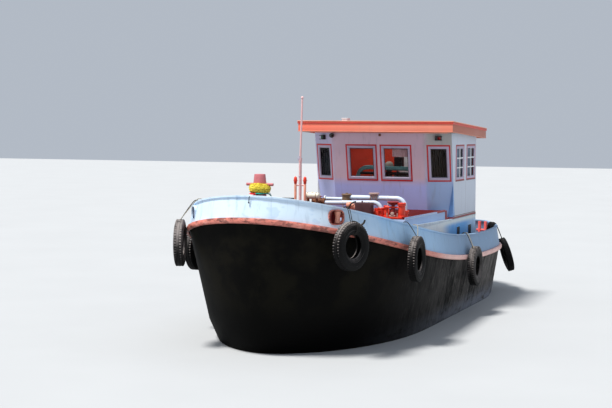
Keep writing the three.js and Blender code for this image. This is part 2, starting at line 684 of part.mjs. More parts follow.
// The posts stand on one foot plate and hold the mast's pin between them
let posts = box(
  MAST.x - POST.footX, MAST.x + POST.footX, -POST.footY, POST.footY, belowDeck, sheer(MAST.x) + POST.base,
);
for (const side of [1, -1]) {
  posts = posts.add(post(MAST.x, side * POST.y, POST.radius, belowDeck, POST.top));
  posts = posts.add(ball(MAST.x, side * POST.y, POST.top, POST.bulb));
}
const pinHole = bar('y', -POST.y - POST.radius, POST.y + POST.radius, MAST.x, MAST.pivotZ, MAST.pin + 1, 16);
add('mast_posts', onDeck(posts).subtract(pinHole), COLOUR.machinery);

const mastFoot = sheer(MAST.x) + POST.base + RUNNING_GAP * 4;
// The slender upper pole leans a little to port above its collar
const upperPole = post(0, 0, MAST.tipRadius + 5, 0, MAST.top - MAST.collarZ, 20, MAST.tipRadius)
  .add(ball(0, 0, MAST.top - MAST.collarZ, MAST.ball))
  .rotate([-MAST.lean, 0, 0])
  .translate([MAST.x, 0, MAST.collarZ]);
const mast = post(MAST.x, 0, MAST.radius, mastFoot, MAST.collarZ)
  .add(post(MAST.x, 0, MAST.collarRadius, MAST.collarZ - MAST.collarHalf, MAST.collarZ + MAST.collarHalf))
  .add(upperPole)
  .add(bar('y', -POST.y - POST.radius, POST.y + POST.radius, MAST.x, MAST.pivotZ, MAST.pin, 16));
add('mast', mast, COLOUR.mast);

// Pump manifold, pipes and winch on the coaming

const topZ = COAMING.top + GAP;
const barrelZ = topZ + MANIFOLD.base + MANIFOLD.barrel;
const manifoldFoot = box(
  MANIFOLD.x - MANIFOLD.half, MANIFOLD.x + MANIFOLD.half, MANIFOLD.from, MANIFOLD.to,
  topZ, topZ + MANIFOLD.base + MANIFOLD.barrel / 2,
);
const barrel = bar('y', MANIFOLD.from, MANIFOLD.to, MANIFOLD.x, barrelZ, MANIFOLD.barrel, 18);
let manifold = manifoldFoot.add(barrel);
for (const y of [MANIFOLD.from, MANIFOLD.to - MANIFOLD.rim]) {
  manifold = manifold.add(bar('y', y, y + MANIFOLD.rim, MANIFOLD.x, barrelZ, MANIFOLD.flange, 18));
}
add('pump_manifold', manifold, COLOUR.machinery);

const [foreRun, aftRun] = PIPES.map(({ x, from, to, above, radius, bend }) => {
  const route = [[x, from, topZ + above], [x, to, topZ + above], [x, to, topZ]];
  return pipe(route, radius, bend);
});
add(PIPES[0].name, foreRun, COLOUR.pipe);
const { x: valveX, from: valveY, above: runUp } = PIPES[1];
const lowRun = bar('y', LOW_PIPE.from, valveY, valveX, topZ + LOW_PIPE.above, LOW_PIPE.radius, 12);
const valve = post(valveX, valveY, VALVE.radius, topZ + runUp - VALVE.down, topZ + runUp + VALVE.up, 16);
add(PIPES[1].name, aftRun.add(lowRun).add(valve), COLOUR.pipe);

const [drumFrom, drumTo] = [WINCH.from + WINCH.cheek, WINCH.to - WINCH.cheek];
const drum = bar('y', drumFrom, drumTo, WINCH.x, topZ + WINCH.drum, WINCH.drum, 20);
const [winchAft, winchFore] = [WINCH.x - WINCH.half, WINCH.x + WINCH.half];
const winchBase = box(winchAft, winchFore, WINCH.from, WINCH.to, topZ, topZ + WINCH.base);
add('winch', winchBase.add(drum), COLOUR.brown);

// Aft deck gear

const bittTop = sheer(AFT_BITT.x) + AFT_BITT.high;
const bittBar = bar(
  'y', AFT_BITT.y - AFT_BITT.barHalf, AFT_BITT.y + AFT_BITT.barHalf,
  AFT_BITT.x, bittTop - AFT_BITT.barDown, AFT_BITT.barRadius,
);
const bittFoot = box(
  AFT_BITT.x - AFT_BITT.footX, AFT_BITT.x + AFT_BITT.footX,
  AFT_BITT.y - AFT_BITT.footY, AFT_BITT.y + AFT_BITT.footY,
  CASING.below, sheer(AFT_BITT.x) + AFT_BITT.foot,
);
const [bittIn, bittOut] = [AFT_BITT.y - AFT_BITT.apart, AFT_BITT.y + AFT_BITT.apart];
const bittPosts = post(AFT_BITT.x, bittIn, AFT_BITT.radius, CASING.below, bittTop)
  .add(post(AFT_BITT.x, bittOut, AFT_BITT.radius, CASING.below, bittTop));
const bitt = onDeck(bittPosts.add(bittBar).add(bittFoot));
add('aft_bollard_port', bitt, COLOUR.machinery);
add('aft_bollard_starboard', bitt.mirror([0, 1, 0]), COLOUR.machinery);

// Tyres

function tyreSolid() {
  const half = TYRE.wide / 2;
  const mid = (TYRE.radius + TYRE.bead) / 2;
  const profile = [
    [TYRE.bead, -half * 0.62], [mid, -half], [TYRE.radius * 0.9, -half * 0.92], [TYRE.radius, -half * 0.6],
    [TYRE.radius, half * 0.6], [TYRE.radius * 0.9, half * 0.92], [mid, half], [TYRE.bead, half * 0.62],
    [TYRE.bead, -half * 0.62],
  ].map(([r, h]) => new THREE.Vector2(r, h));
  return solid(new THREE.LatheGeometry(profile, TYRE.pieces));
}

// Each tyre hangs against the strake: it starts clear of it and is moved in until they touch
const hullSide = hullShell.add(strake);
for (const { name, x, z, side, turn, lean } of TYRES) {
  const swing = TYRE.radius * Math.sin(Math.abs(turn) * DEG);
  const startY = halfBreadth(DECK, x) + STRAKE.out + TYRE.wide + swing;
  const tyreAt = (inward) => tyreSolid()
    .rotate([lean, 0, 0])
    .rotate([0, 0, -turn])
    .translate([x, startY - inward, z]);
  let inward = 0;
  for (let step = 0; step < TYRE.steps; step += 1) {
    inward += Math.max(tyreAt(inward).minGap(hullSide, TYRE.reach) - GAP, 0);
  }
  const tyre = tyreAt(inward);
  add(name, side > 0 ? tyre : tyre.mirror([0, 1, 0]), COLOUR.rubber, 0.9, 0);
}

// Engine, shaft, propeller and rudder

const engine = box(ENGINE.aft, ENGINE.fore, -ENGINE.half, ENGINE.half, ENGINE.floor + GAP, ENGINE.top);
add('engine', engine, COLOUR.steel);

function bladeSolid() {
  const shape = new THREE.Shape();
  const { radius, hub } = PROPELLER;
  shape.moveTo(-40, hub * 0.6);
  shape.bezierCurveTo(-170, radius * 0.5, -170, radius, 0, radius);
  shape.bezierCurveTo(170, radius, 170, radius * 0.5, 40, hub * 0.6);
  const geometry = new THREE.ExtrudeGeometry(shape, {
    depth: PROPELLER.thick, curveSegments: 8, bevelEnabled: false,
  });
  geometry.translate(0, 0, -PROPELLER.thick / 2);
  return solid(geometry);
}

const hubAft = PROPELLER.x - PROPELLER.hubLong / 2;
let propeller = bar('x', hubAft, hubAft + PROPELLER.hubLong, 0, SHAFT.z, PROPELLER.hub, 24);
for (let i = 0; i < PROPELLER.blades; i += 1) {
  // A blade stands up along Z, turned about its own length for pitch
  const blade = bladeSolid()
    .rotate([90, 0, 0])
    .rotate([0, 0, 90 - PROPELLER.pitch])
    .rotate([(i * 360) / PROPELLER.blades, 0, 0])
    .translate([PROPELLER.x, 0, SHAFT.z]);
  propeller = propeller.add(blade);
}
propeller = propeller.add(bar('x', SHAFT.aft, SHAFT.fore - 20, 0, SHAFT.z, SHAFT.radius, 24));
add('propeller', propeller, COLOUR.bronze, 0.35, 0.8);

const rudder = box(RUDDER.aft, RUDDER.fore, -RUDDER.thick / 2, RUDDER.thick / 2, RUDDER.foot, RUDDER.top)
  .add(post(RUDDER.stockX, 0, RUDDER.stock, RUDDER.foot, stockTop, 20));
add('rudder', rudder, COLOUR.hull);

export default root;
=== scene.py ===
import random
from math import atan2, copysign, cos, hypot, pi, radians, sin

import bmesh
import bpy
from mathutils import Matrix, Vector


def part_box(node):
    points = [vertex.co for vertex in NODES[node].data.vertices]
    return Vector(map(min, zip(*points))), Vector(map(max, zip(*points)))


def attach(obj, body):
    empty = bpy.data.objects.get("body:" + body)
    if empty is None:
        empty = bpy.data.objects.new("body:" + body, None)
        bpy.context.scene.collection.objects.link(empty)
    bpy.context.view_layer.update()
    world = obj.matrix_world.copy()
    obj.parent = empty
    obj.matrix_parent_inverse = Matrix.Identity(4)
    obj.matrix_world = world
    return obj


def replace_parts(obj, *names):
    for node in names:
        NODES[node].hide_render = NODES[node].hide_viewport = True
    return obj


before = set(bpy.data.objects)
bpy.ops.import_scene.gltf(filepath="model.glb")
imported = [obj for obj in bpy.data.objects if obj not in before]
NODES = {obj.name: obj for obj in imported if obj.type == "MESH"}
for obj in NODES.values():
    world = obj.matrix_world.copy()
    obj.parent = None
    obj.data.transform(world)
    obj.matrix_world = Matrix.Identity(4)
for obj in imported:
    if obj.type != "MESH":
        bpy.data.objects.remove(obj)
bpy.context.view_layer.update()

SCENE = bpy.context.scene
X_AXIS = Vector((1, 0, 0))
Y_AXIS = Vector((0, 1, 0))
Z_AXIS = Vector((0, 0, 1))
SIDES = ((1, "port"), (-1, "starboard"))


def add_object(name, data):
    obj = bpy.data.objects.new(name, data)
    SCENE.collection.objects.link(obj)
    return obj


def axes_at(at, x, y, z):
    """Matrix with three axes, at a place."""
    matrix = Matrix((x, y, z)).transposed().to_4x4()
    matrix.translation = at
    return matrix


# Camera, fitted to the photograph

CAMERA_AT = (29.494, 9.960, 4.4616)
CAMERA_FORWARD = (-0.92952, -0.36394, -0.05949)
CAMERA_ROLL = radians(0.36)
CAMERA_LENS = 75.0
SENSOR = 36.0
CLIP_END = 400


def make_camera():
    data = bpy.data.cameras.new("camera")
    data.lens = CAMERA_LENS
    data.sensor_width = SENSOR
    data.clip_end = CLIP_END
    forward = Vector(CAMERA_FORWARD).normalized()
    right = forward.cross(Z_AXIS).normalized()
    up = right.cross(forward)
    turned_right = right * cos(CAMERA_ROLL) + up * sin(CAMERA_ROLL)
    turned_up = up * cos(CAMERA_ROLL) - right * sin(CAMERA_ROLL)
    camera = add_object("camera", data)
    camera.matrix_world = axes_at(CAMERA_AT, turned_right, turned_up, -forward)
    SCENE.camera = camera


make_camera()

# Node materials

SLOT_OF = {}


def linear(colour):
    """sRGB colour, 0 to 1, as the linear colour that a shader takes."""
    parts = [c / 12.92 if c <= 0.04045 else ((c + 0.055) / 1.055) ** 2.4 for c in colour]
    return (*parts, 1.0)


class Finish:
    """Node graph of one procedural material. Coordinates are the row frame's, in metres."""

    def __init__(self, name, slot, metallic=0.0, specular=0.5):
        SLOT_OF[name] = slot
        self.material = bpy.data.materials.new(name)
        self.material.use_nodes = True
        self.nodes = self.material.node_tree.nodes
        self.links = self.material.node_tree.links
        self.bsdf = self.nodes["Principled BSDF"]
        self.bsdf.inputs["Metallic"].default_value = metallic
        self.bsdf.inputs["Specular IOR Level"].default_value = specular
        coords = self.nodes.new("ShaderNodeTexCoord")
        self.place = coords.outputs["Object"]
        self.at = self.split(self.place)
        self.facing = self.split(coords.outputs["Normal"])
        self.colour = None

    def feed(self, socket, value):
        if isinstance(value, bpy.types.NodeSocket):
            self.links.new(value, socket)
        elif isinstance(value, tuple) and socket.type == "RGBA":
            socket.default_value = linear(value)
        else:
            socket.default_value = value

    def node(self, kind, inputs, **settings):
        """New node with its settings, and its inputs by name or number."""
        node = self.nodes.new("ShaderNode" + kind)
        for key, value in settings.items():
            setattr(node, key, value)
        for key, value in inputs.items():
            self.feed(node.inputs[key], value)
        return node

    def split(self, vector):
        return self.node("SeparateXYZ", {0: vector}).outputs

    def maths(self, operation, a, b=0.0, clamp=False):
        return self.node("Math", {0: a, 1: b}, operation=operation, use_clamp=clamp).outputs[0]

    def times(self, *values):
        result = values[0]
        for value in values[1:]:
            result = self.maths("MULTIPLY", result, value)
        return result

    def mix(self, a, share_a, b, share_b):
        """Sum of two values by their shares, held between 0 and 1."""
        return self.maths("ADD", self.times(a, share_a), self.times(b, share_b), clamp=True)

    def noise(self, scale, detail=3.0, rough=0.55, shift=0.0, stretch=(1, 1, 1)):
        away = (shift, shift * 0.7, shift * 1.3)
        mapping = self.node("Mapping", {"Vector": self.place, "Location": away, "Scale": stretch})
        values = {"Vector": mapping.outputs[0], "Scale": scale, "Detail": detail, "Roughness": rough}
        return self.node("TexNoise", values).outputs["Fac"]

    def step(self, value, low, high):
        """0 at low, 1 at high, smooth between."""
        values = {"Value": value, "From Min": low, "From Max": high}
        return self.node("MapRange", values, interpolation_type="SMOOTHSTEP").outputs[0]

    def spots(self, scale, detail, rough, low, high, shift=0.0, stretch=(1, 1, 1)):
        """Patches where the noise climbs from low to high."""
        return self.step(self.noise(scale, detail, rough, shift, stretch), low, high)

    def range(self, value, low, high):
        """A 0 to 1 value as one from low to high."""
        return self.node("MapRange", {"Value": value, "To Min": low, "To Max": high}).outputs[0]

    def blend(self, amount, a, b):
        return self.node("Mix", {"Factor": amount, 6: a, 7: b}, data_type="RGBA").outputs[2]

    def base(self, amount, a, b):
        """First coat: a blend of two colours."""
        self.colour = self.blend(amount, a, b)

    def coat(self, tint, *masks):
        """Tint laid over the colour so far, as strong as the product of its masks."""
        self.colour = self.blend(self.times(*masks), self.colour, tint)

    def bump(self, *layers):
        """Each layer is (height, strength, distance in metres), the broadest first."""
        normal = None
        for height, strength, distance in layers:
            values = {"Height": height, "Strength": strength, "Distance": distance}
            if normal is not None:
                values["Normal"] = normal
            normal = self.node("Bump", values).outputs[0]
        self.feed(self.bsdf.inputs["Normal"], normal)

    def done(self, roughness):
        self.feed(self.bsdf.inputs["Base Color"], self.colour)
        self.feed(self.bsdf.inputs["Roughness"], roughness)
        return self.material


def shade(colour, amount):
    """A colour made darker (below 1) or lighter."""
    return tuple(min(c * amount, 1.0) for c in colour)


def deck_colour(f, base=(0.43, 0.20, 0.18)):
    """Oxide red deck paint with scuffed and dirty patches."""
    colour = f.blend(f.noise(1.3, 4, 0.6, 3), shade(base, 0.78), shade(base, 1.2))
    scuffs = f.spots(9, 6, 0.7, 0.56, 0.68, 8)
    dirt = f.spots(2.7, 5, 0.65, 0.5, 0.75, 15)
    colour = f.blend(f.times(scuffs, 0.4), colour, (0.52, 0.33, 0.29))
    return f.blend(f.times(dirt, 0.6), colour, (0.17, 0.13, 0.12))


def hull_finish():
    f = Finish("hull_black", "hull_paint", specular=0.06)
    x, _, z = f.at
    streaks = f.noise(5, 5, 0.6, 0, (1, 1, 0.09))
    broad = f.noise(0.8, 4, 0.6, 2)
    fine = f.noise(60, 4, 0.6, 61)
    aft = f.step(x, 5.6, -4.6)
    runs = f.spots(26, 4, 0.6, 0.54, 0.68, 5, (1, 1, 0.05))
    rust = f.spots(2.2, 6, 0.7, 0.60, 0.74, 11, (1, 1, 0.4))
    olive = f.spots(1.4, 5, 0.6, 0.42, 0.6, 21)
    scum = f.spots(3, 5, 0.65, 0.28, 0.55, 31, (1, 1, 2))
    growth = f.blend(f.noise(6, 6, 0.7, 41), (0.20, 0.10, 0.08), (0.30, 0.27, 0.19))
    f.base(broad, (0.014, 0.014, 0.012), (0.050, 0.048, 0.040))
    # Painted shade: near black low down towards the bow, in place of the dark water that the hull faces
    # there.
    f.coat((0.004, 0.004, 0.004), f.step(x, 2.6, 4.6), f.step(z, 1.1, 0.2), 0.9)
    f.coat((0.44, 0.425, 0.415), aft, f.step(f.mix(streaks, 0.6, broad, 0.45), 0.38, 0.62), 0.80)
    f.coat((0.62, 0.60, 0.58), runs, aft, 0.4675)
    f.coat((0.33, 0.20, 0.13), rust, aft, 0.44)
    f.coat((0.14, 0.13, 0.09), f.step(x, 3.2, 5.2), f.step(z, 0.6, 1.4), olive, 0.3)
    f.coat((0.60, 0.62, 0.67), f.step(z, 0.50, 0.02), aft, scum, 0.8)
    f.coat(growth, f.step(z, 0.03, -0.03))
    f.coat(deck_colour(f), f.step(f.facing[2], 0.72, 0.82))
    plates = f.noise(1.1, 2, 0.4, 51, (1, 1, 1.4))
    f.bump((plates, 0.5, 0.05), (streaks, 0.12, 0.01), (fine, 0.25, 0.004))
    return f.done(f.range(f.mix(broad, 0.5, fine, 0.5), 0.58, 0.92))


def bulwark_finish():
    f = Finish("bulwark_blue", "bulwark_paint", specular=0.4)
    x = f.at[0]
    broad = f.noise(1.2, 4, 0.6, 4)
    fine = f.noise(80, 4, 0.6, 54)
    rust = f.spots(17, 7, 0.75, 0.67, 0.73, 34)
    f.base(broad, (0.58, 0.74, 0.89), (0.69, 0.83, 0.95))
    worn = f.step(f.mix(broad, 0.7, f.step(x, 2.0, 7.0), 0.28), 0.42, 0.75)
    f.coat((0.84, 0.89, 0.93), worn, 0.5)
    # Painted highlight: paler towards the bow where the sun falls, with the paint washed out there too.
    f.coat((0.87, 0.94, 1.0), f.step(x, 5.0, 6.6), 0.65)
    # Painted shade: darker aft of amidships.
    f.coat((0.42, 0.51, 0.63), f.step(x, 3.8, 0.2), 0.66)
    f.coat((0.44, 0.52, 0.60), f.spots(7, 5, 0.6, 0.52, 0.72, 0, (1, 1, 0.1)), 0.32)
    f.coat((0.55, 0.70, 0.86), f.spots(3.1, 2, 0.4, 0.60, 0.66, 14, (1, 1, 1.5)), 0.25)
    f.coat((0.34, 0.36, 0.38), f.spots(13, 6, 0.75, 0.64, 0.72, 24, (1, 1, 0.6)), 0.55)
    f.coat((0.42, 0.26, 0.18), rust, 0.7)
    f.bump((f.noise(1.6, 2, 0.4, 44), 0.35, 0.03), (rust, 0.3, 0.002), (fine, 0.2, 0.002))
    return f.done(f.range(f.mix(broad, 0.6, fine, 0.4), 0.36, 0.75))


def strake_finish():
    f = Finish("strake_salmon", "strake_paint", specular=0.4)
    x = f.at[0]
    broad = f.noise(2, 4, 0.6, 6)
    fine = f.noise(70, 4, 0.6, 56)
    scraped = f.spots(5.5, 6, 0.7, 0.46, 0.59, 16, (0.7, 0.7, 1.6))
    bare = f.spots(11, 6, 0.7, 0.56, 0.66, 26, (0.6, 0.6, 1.5))
    forward = f.range(f.step(x, 2.0, 6.5), 0.12, 1.0)
    f.base(broad, (0.80, 0.44, 0.38), (0.90, 0.56, 0.50))
    f.coat((0.93, 0.72, 0.66), f.spots(8, 5, 0.6, 0.52, 0.7, 36, (0.5, 0.5, 1)), 0.5)
    # Painted highlight: paler aft of amidships.
    f.coat((1.0, 0.86, 0.83), f.step(x, 3.4, 1.4), 0.70)
    f.coat((0.38, 0.20, 0.18), scraped, forward, 0.75)
    f.coat((0.20, 0.16, 0.15), bare, forward, 0.8)
    # Painted shade: darker where the strake faces down.
    f.coat((0.30, 0.17, 0.15), f.step(f.facing[2], -0.2, -0.75), 0.7)
    dents = f.noise(2.6, 3, 0.5, 46, (1, 1, 0.6))
    f.bump((dents, 0.8, 0.06), (scraped, 0.4, 0.006), (fine, 0.3, 0.003))
    return f.done(f.range(broad, 0.38, 0.75))


HOUSE_MIDDLE = (-2.4, 0.0, 3.3)


def inside_mask(f):
    """1 where the surface faces the middle of the wheelhouse."""
    total = 0.0
    for place, facing, middle in zip(f.at, f.facing, HOUSE_MIDDLE):
        total = f.maths("ADD", total, f.times(f.maths("SUBTRACT", place, middle), facing))
    return f.step(total, -0.02, -0.06)


def wall_finish():
    f = Finish("wall_lavender", "wall_paint", specular=0.4)
    x, y, z = f.at
    broad = f.noise(1, 4, 0.6, 7)
    # Painted light and shade: the front is bluer low down and pinker high up, painted bounce light from the
    # red deck; the starboard facet takes a shaded lavender, the port facet a shaded blue low down and grey
    # high up, and the sides and aft wall a paler grey-blue tone, each a lit or shaded copy of one paint.
    low = f.blend(broad, (0.67, 0.71, 0.93), (0.76, 0.79, 1.0))
    high = f.blend(broad, (0.80, 0.70, 0.75), (0.88, 0.78, 0.84))
    side = f.blend(broad, (0.76, 0.80, 0.86), (0.84, 0.87, 0.92))
    port_facet_shade_high = f.blend(broad, (0.66, 0.66, 0.65), (0.72, 0.71, 0.70))
    port_facet_shade_low = f.blend(broad, (0.62, 0.72, 0.88), (0.70, 0.79, 0.93))
    # Red paint of the inside, made brighter to stand in for light that the room lacks: partly painted light.
    inside = f.blend(f.noise(2.4, 5, 0.6, 57), (0.88, 0.24, 0.15), (0.97, 0.33, 0.22))
    abeam = f.step(f.maths("ABSOLUTE", f.facing[1]), 0.75, 0.9)
    f.base(f.step(z, 2.98, 3.26), low, high)
    f.coat((0.72, 0.74, 0.88), f.step(y, -1.12, -1.34), 0.7)
    f.coat(f.blend(f.step(z, 3.0, 4.1), port_facet_shade_low, port_facet_shade_high), f.step(y, 1.12, 1.34))
    f.coat(side, f.maths("MAXIMUM", abeam, f.step(x, -3.2, -3.5)))
    f.coat((0.52, 0.50, 0.55), f.spots(9, 5, 0.6, 0.54, 0.74, 17, (1, 1, 0.08)), 0.25)
    f.coat((0.50, 0.32, 0.26), f.spots(15, 7, 0.75, 0.69, 0.74, 27), 0.6)
    f.coat(inside, inside_mask(f))
    f.bump((f.noise(1.5, 2, 0.4, 47), 0.25, 0.02), (f.noise(90, 4, 0.6, 37), 0.15, 0.0015))
    return f.done(f.range(broad, 0.35, 0.62))


def casing_finish():
    f = Finish("casing_blue", "deck_paint", specular=0.12)
    x, y, z = f.at
    broad = f.noise(1.3, 4, 0.6, 9)
    top = f.step(f.facing[2], 0.72, 0.82)
    ledge = f.times(f.step(f.maths("ABSOLUTE", y), 1.66, 1.70), f.step(z, 2.26, 2.23))
    # Painted shade: patches of saturated sky blue low on the casing's sides aft, the colour of skylit shade.
    skylit_shade = (f.step(x, -0.3, -1.3), f.step(z, 2.16, 2.04), f.step(broad, 0.15, 0.42))
    f.base(broad, (0.62, 0.73, 0.88), (0.74, 0.82, 0.94))
    f.coat((0.96, 1.0, 1.0), f.step(z, 2.24, 2.18), 0.9)
    f.coat((0.48, 0.56, 0.68), f.spots(8, 5, 0.6, 0.52, 0.72, 19, (1, 1, 0.08)), 0.25)
    f.coat((0.45, 0.28, 0.22), f.spots(14, 7, 0.75, 0.67, 0.73, 29), 0.7)
    f.coat((0.38, 0.72, 1.0), *skylit_shade, f.range(f.step(x, -3.6, -2.4), 0.5, 1.0), 0.9)
    f.coat(f.blend(ledge, deck_colour(f, (0.33, 0.065, 0.065)), (0.88, 0.94, 1.0)), top)
    f.bump((f.noise(1.5, 2, 0.4, 49), 0.3, 0.02), (f.noise(80, 4, 0.6, 39), 0.2, 0.002))
    return f.done(f.mix(f.range(broad, 0.38, 0.75), 1.0, top, 0.5))


def roof_finish():
    f = Finish("roof_coral", "roof_paint", specular=0.45)
    _, y, _ = f.at
    _, abeam, upward = f.facing
    broad = f.noise(1.6, 4, 0.6, 12)
    f.base(broad, (1.0, 0.55, 0.44), (1.0, 0.64, 0.53))
    f.coat((1.0, 0.42, 0.32), f.step(y, 0.2, -2.0), 0.6)
    f.coat((0.66, 0.34, 0.28), f.spots(10, 5, 0.6, 0.58, 0.78, 22, (1, 1, 0.15)), 0.12)
    # Painted shade: darker where the faces look to port.
    f.coat((0.60, 0.36, 0.30), f.step(abeam, 0.6, 0.9), 0.75)
    f.coat(deck_colour(f, (0.72, 0.36, 0.30)), f.step(upward, 0.7, 0.85))
    # Painted shade: dark grey where the faces look down, under the eaves.
    f.coat((0.34, 0.30, 0.29), f.step(upward, -0.7, -0.85))
    f.bump((f.noise(1.7, 2, 0.4, 42), 0.3, 0.02), (f.noise(80, 4, 0.6, 32), 0.2, 0.002))
    return f.done(f.range(broad, 0.35, 0.7))


def plain_paint(name, slot, base, under, shift, chips=0.66, rough=(0.3, 0.65), dirt=0.35):
    """Enamel on steel: tone, dirt, chips down to another colour, orange peel."""
    f = Finish(name, slot)
    broad = f.noise(2.2, 4, 0.6, shift)
    fine = f.noise(70, 4, 0.6, shift + 30)
    chipped = f.spots(19, 7, 0.75, chips, chips + 0.05, shift + 20)
    f.base(broad, shade(base, 0.84), shade(base, 1.08))
    f.coat(shade(under, 0.7), f.spots(5, 6, 0.7, 0.48, 0.72, shift + 10), dirt)
    f.coat(under, chipped, 0.8)
    f.bump((f.noise(4, 2, 0.4, shift + 40), 0.3, 0.008), (chipped, 0.3, 0.0015), (fine, 0.2, 0.0015))
    return f.done(f.range(f.mix(broad, 0.5, fine, 0.5), *rough))


def glass_finish():
    f = Finish("window_glass", "glass", specular=0.6)
    smears = f.spots(4, 6, 0.65, 0.45, 0.8, 13)
    f.base(smears, (0.05, 0.06, 0.07), (0.22, 0.22, 0.22))
    f.feed(f.bsdf.inputs["Alpha"], f.range(smears, 0.07, 0.20))
    f.bump((f.noise(2, 2, 0.4, 23), 0.05, 0.01))
    return f.done(f.range(smears, 0.03, 0.16))


def rubber_finish(name="tyre_rubber", facing=(0.10, 0.80), dusty=0.8):
    """Black rubber, dusty where it faces up; facing is the slope at which dust begins and is full."""
    f = Finish(name, "rubber", specular=0.15)
    broad = f.noise(3, 4, 0.6, 18)
    forward = f.range(f.step(f.at[0], 3.0, 6.0), 0.6, 1.0)
    dust = f.spots(9, 5, 0.65, 0.25, 0.55, 28)
    f.base(broad, (0.025, 0.025, 0.028), (0.065, 0.063, 0.062))
    f.coat((0.55, 0.52, 0.51), f.step(f.facing[2], *facing), dust, forward, dusty)
    f.coat((0.30, 0.29, 0.29), f.spots(16, 6, 0.7, 0.60, 0.72, 38), 0.22)
    f.bump((f.noise(110, 4, 0.6, 48), 0.35, 0.003))
    return f.done(f.range(broad, 0.55, 0.9))


def metal_finish(name, slot, light, dark, shift, metallic=1.0):
    f = Finish(name, slot, metallic=metallic)
    broad = f.noise(6, 5, 0.65, shift)
    stains = f.spots(11, 6, 0.7, 0.5, 0.7, shift + 10)
    f.base(broad, dark, light)
    f.coat(shade(dark, 0.6), stains, 0.5)
    f.bump((broad, 0.2, 0.004), (f.noise(120, 4, 0.6, shift + 20), 0.2, 0.001))
    return f.done(f.range(f.mix(broad, 0.5, stains, 0.4), 0.25, 0.55))


def wood_finish():
    f = Finish("varnished_wood", "wood", specular=0.5)
    grain = f.noise(30, 5, 0.6, 5, (1, 0.12, 1))
    broad = f.noise(2.5, 3, 0.5, 15)
    f.base(grain, (0.25, 0.13, 0.07), (0.46, 0.28, 0.16))
    f.coat((0.18, 0.10, 0.06), broad, 0.4)
    f.bump((grain, 0.25, 0.0015))
    return f.done(f.range(broad, 0.25, 0.5))


def leather_finish():
    f = Finish("seat_leather", "seat_leather", specular=0.45)
    broad = f.noise(4, 4, 0.6, 25)
    cells = f.node("TexVoronoi", {"Scale": 260, "Vector": f.place})
    f.base(broad, (0.08, 0.075, 0.08), (0.16, 0.14, 0.14))
    f.coat((0.30, 0.26, 0.24), f.spots(20, 6, 0.7, 0.6, 0.7, 35), 0.4)
    f.bump((cells.outputs["Distance"], 0.35, 0.0012))
    return f.done(f.range(broad, 0.4, 0.65))


def cloth_finish(name, light, dark, shift):
    f = Finish(name, "seat_leather", specular=0.15)
    broad = f.noise(5, 4, 0.6, shift)
    threads = f.noise(420, 2, 0.5, shift + 10, (1, 1, 0.25))
    across = f.noise(420, 2, 0.5, shift + 20, (0.25, 0.25, 1))
    f.base(broad, dark, light)
    f.coat(shade(dark, 0.8), threads, 0.3)
    f.bump((threads, 0.3, 0.0008), (across, 0.3, 0.0008))
    f.bsdf.inputs["Sheen Weight"].default_value = 0.25
    return f.done(f.range(broad, 0.8, 0.98))


def rope_finish(name, light, dark, shift):
    f = Finish(name, "rubber", specular=0.15)
    fibres = f.noise(160, 4, 0.6, shift, (1, 1, 0.3))
    broad = f.noise(7, 4, 0.6, shift + 10)
    f.base(fibres, dark, light)
    f.coat(shade(dark, 0.7), broad, 0.5)
    f.bump((fibres, 0.5, 0.002))
    return f.done(f.range(broad, 0.75, 0.95))


def lens_finish(name, colour, shift):
    """Moulded glass or plastic of a lamp, with dust in its ribs."""
    f = Finish(name, "glass", specular=0.6)
    dust = f.spots(30, 5, 0.6, 0.45, 0.75, shift)
    f.base(f.times(dust, 0.4), colour, (0.60, 0.57, 0.52))
    f.bump((f.noise(160, 2, 0.4, shift + 5), 0.2, 0.0008))
    return f.done(f.range(dust, 0.08, 0.45))


RUST = (0.36, 0.21, 0.15)
HULL = hull_finish()
BULWARK = bulwark_finish()
STRAKE = strake_finish()
WALL = wall_finish()
CASING = casing_finish()
ROOF = roof_finish()
GLASS = glass_finish()
RUBBER = rubber_finish()
DUSTY_RUBBER = rubber_finish("dusty_rubber", (-0.45, 0.55), 0.9)
BLACK_RUBBER = rubber_finish("black_rubber", (0.6, 1.4), 0.4)
WOOD = wood_finish()
LEATHER = leather_finish()
DECK_RED = plain_paint("deck_red", "deck_paint", (0.46, 0.20, 0.18), (0.20, 0.13, 0.12), 60, chips=0.62)
RED = plain_paint(
    "machinery_red", "red_paint", (0.98, 0.27, 0.17), (0.34, 0.13, 0.11), 70, chips=0.66, dirt=0.22,
)
LINE_RED = plain_paint("line_red", "red_paint", (0.80, 0.13, 0.14), (0.45, 0.12, 0.12), 80, chips=0.7)
DARK_RED = plain_paint("edge_red", "red_paint", (0.60, 0.16, 0.15), (0.25, 0.10, 0.09), 84, chips=0.68)
TRIM = plain_paint(
    "trim_lavender", "wall_paint", (0.74, 0.70, 0.79), (0.55, 0.48, 0.52), 90, chips=0.7, dirt=0.2,
)
WHITE = plain_paint("white_enamel", "pipe_paint", (0.93, 0.97, 1.0), RUST, 100, chips=0.70, dirt=0.10)
MAST_PINK = plain_paint(
    "mast_pink", "mast_paint", (0.97, 0.76, 0.76), (0.60, 0.36, 0.34), 110, chips=0.68, dirt=0.2,
)
BOLLARD_RED = plain_paint(
    "bollard_red", "mast_paint", (0.80, 0.45, 0.47), (0.40, 0.22, 0.21), 115, chips=0.64,
)
BITT_RED = plain_paint(
    "bitt_red", "mast_paint", (1.0, 0.40, 0.38), (0.50, 0.22, 0.20), 117, chips=0.68, dirt=0.2,
)
BROWN = plain_paint("brown_paint", "brown_paint", (0.42, 0.29, 0.31), (0.20, 0.14, 0.14), 120, chips=0.62)
RUSTY = plain_paint(
    "rusty_steel", "brown_paint", (0.52, 0.33, 0.22), (0.25, 0.15, 0.11), 125, chips=0.56, rough=(0.65, 0.9),
)
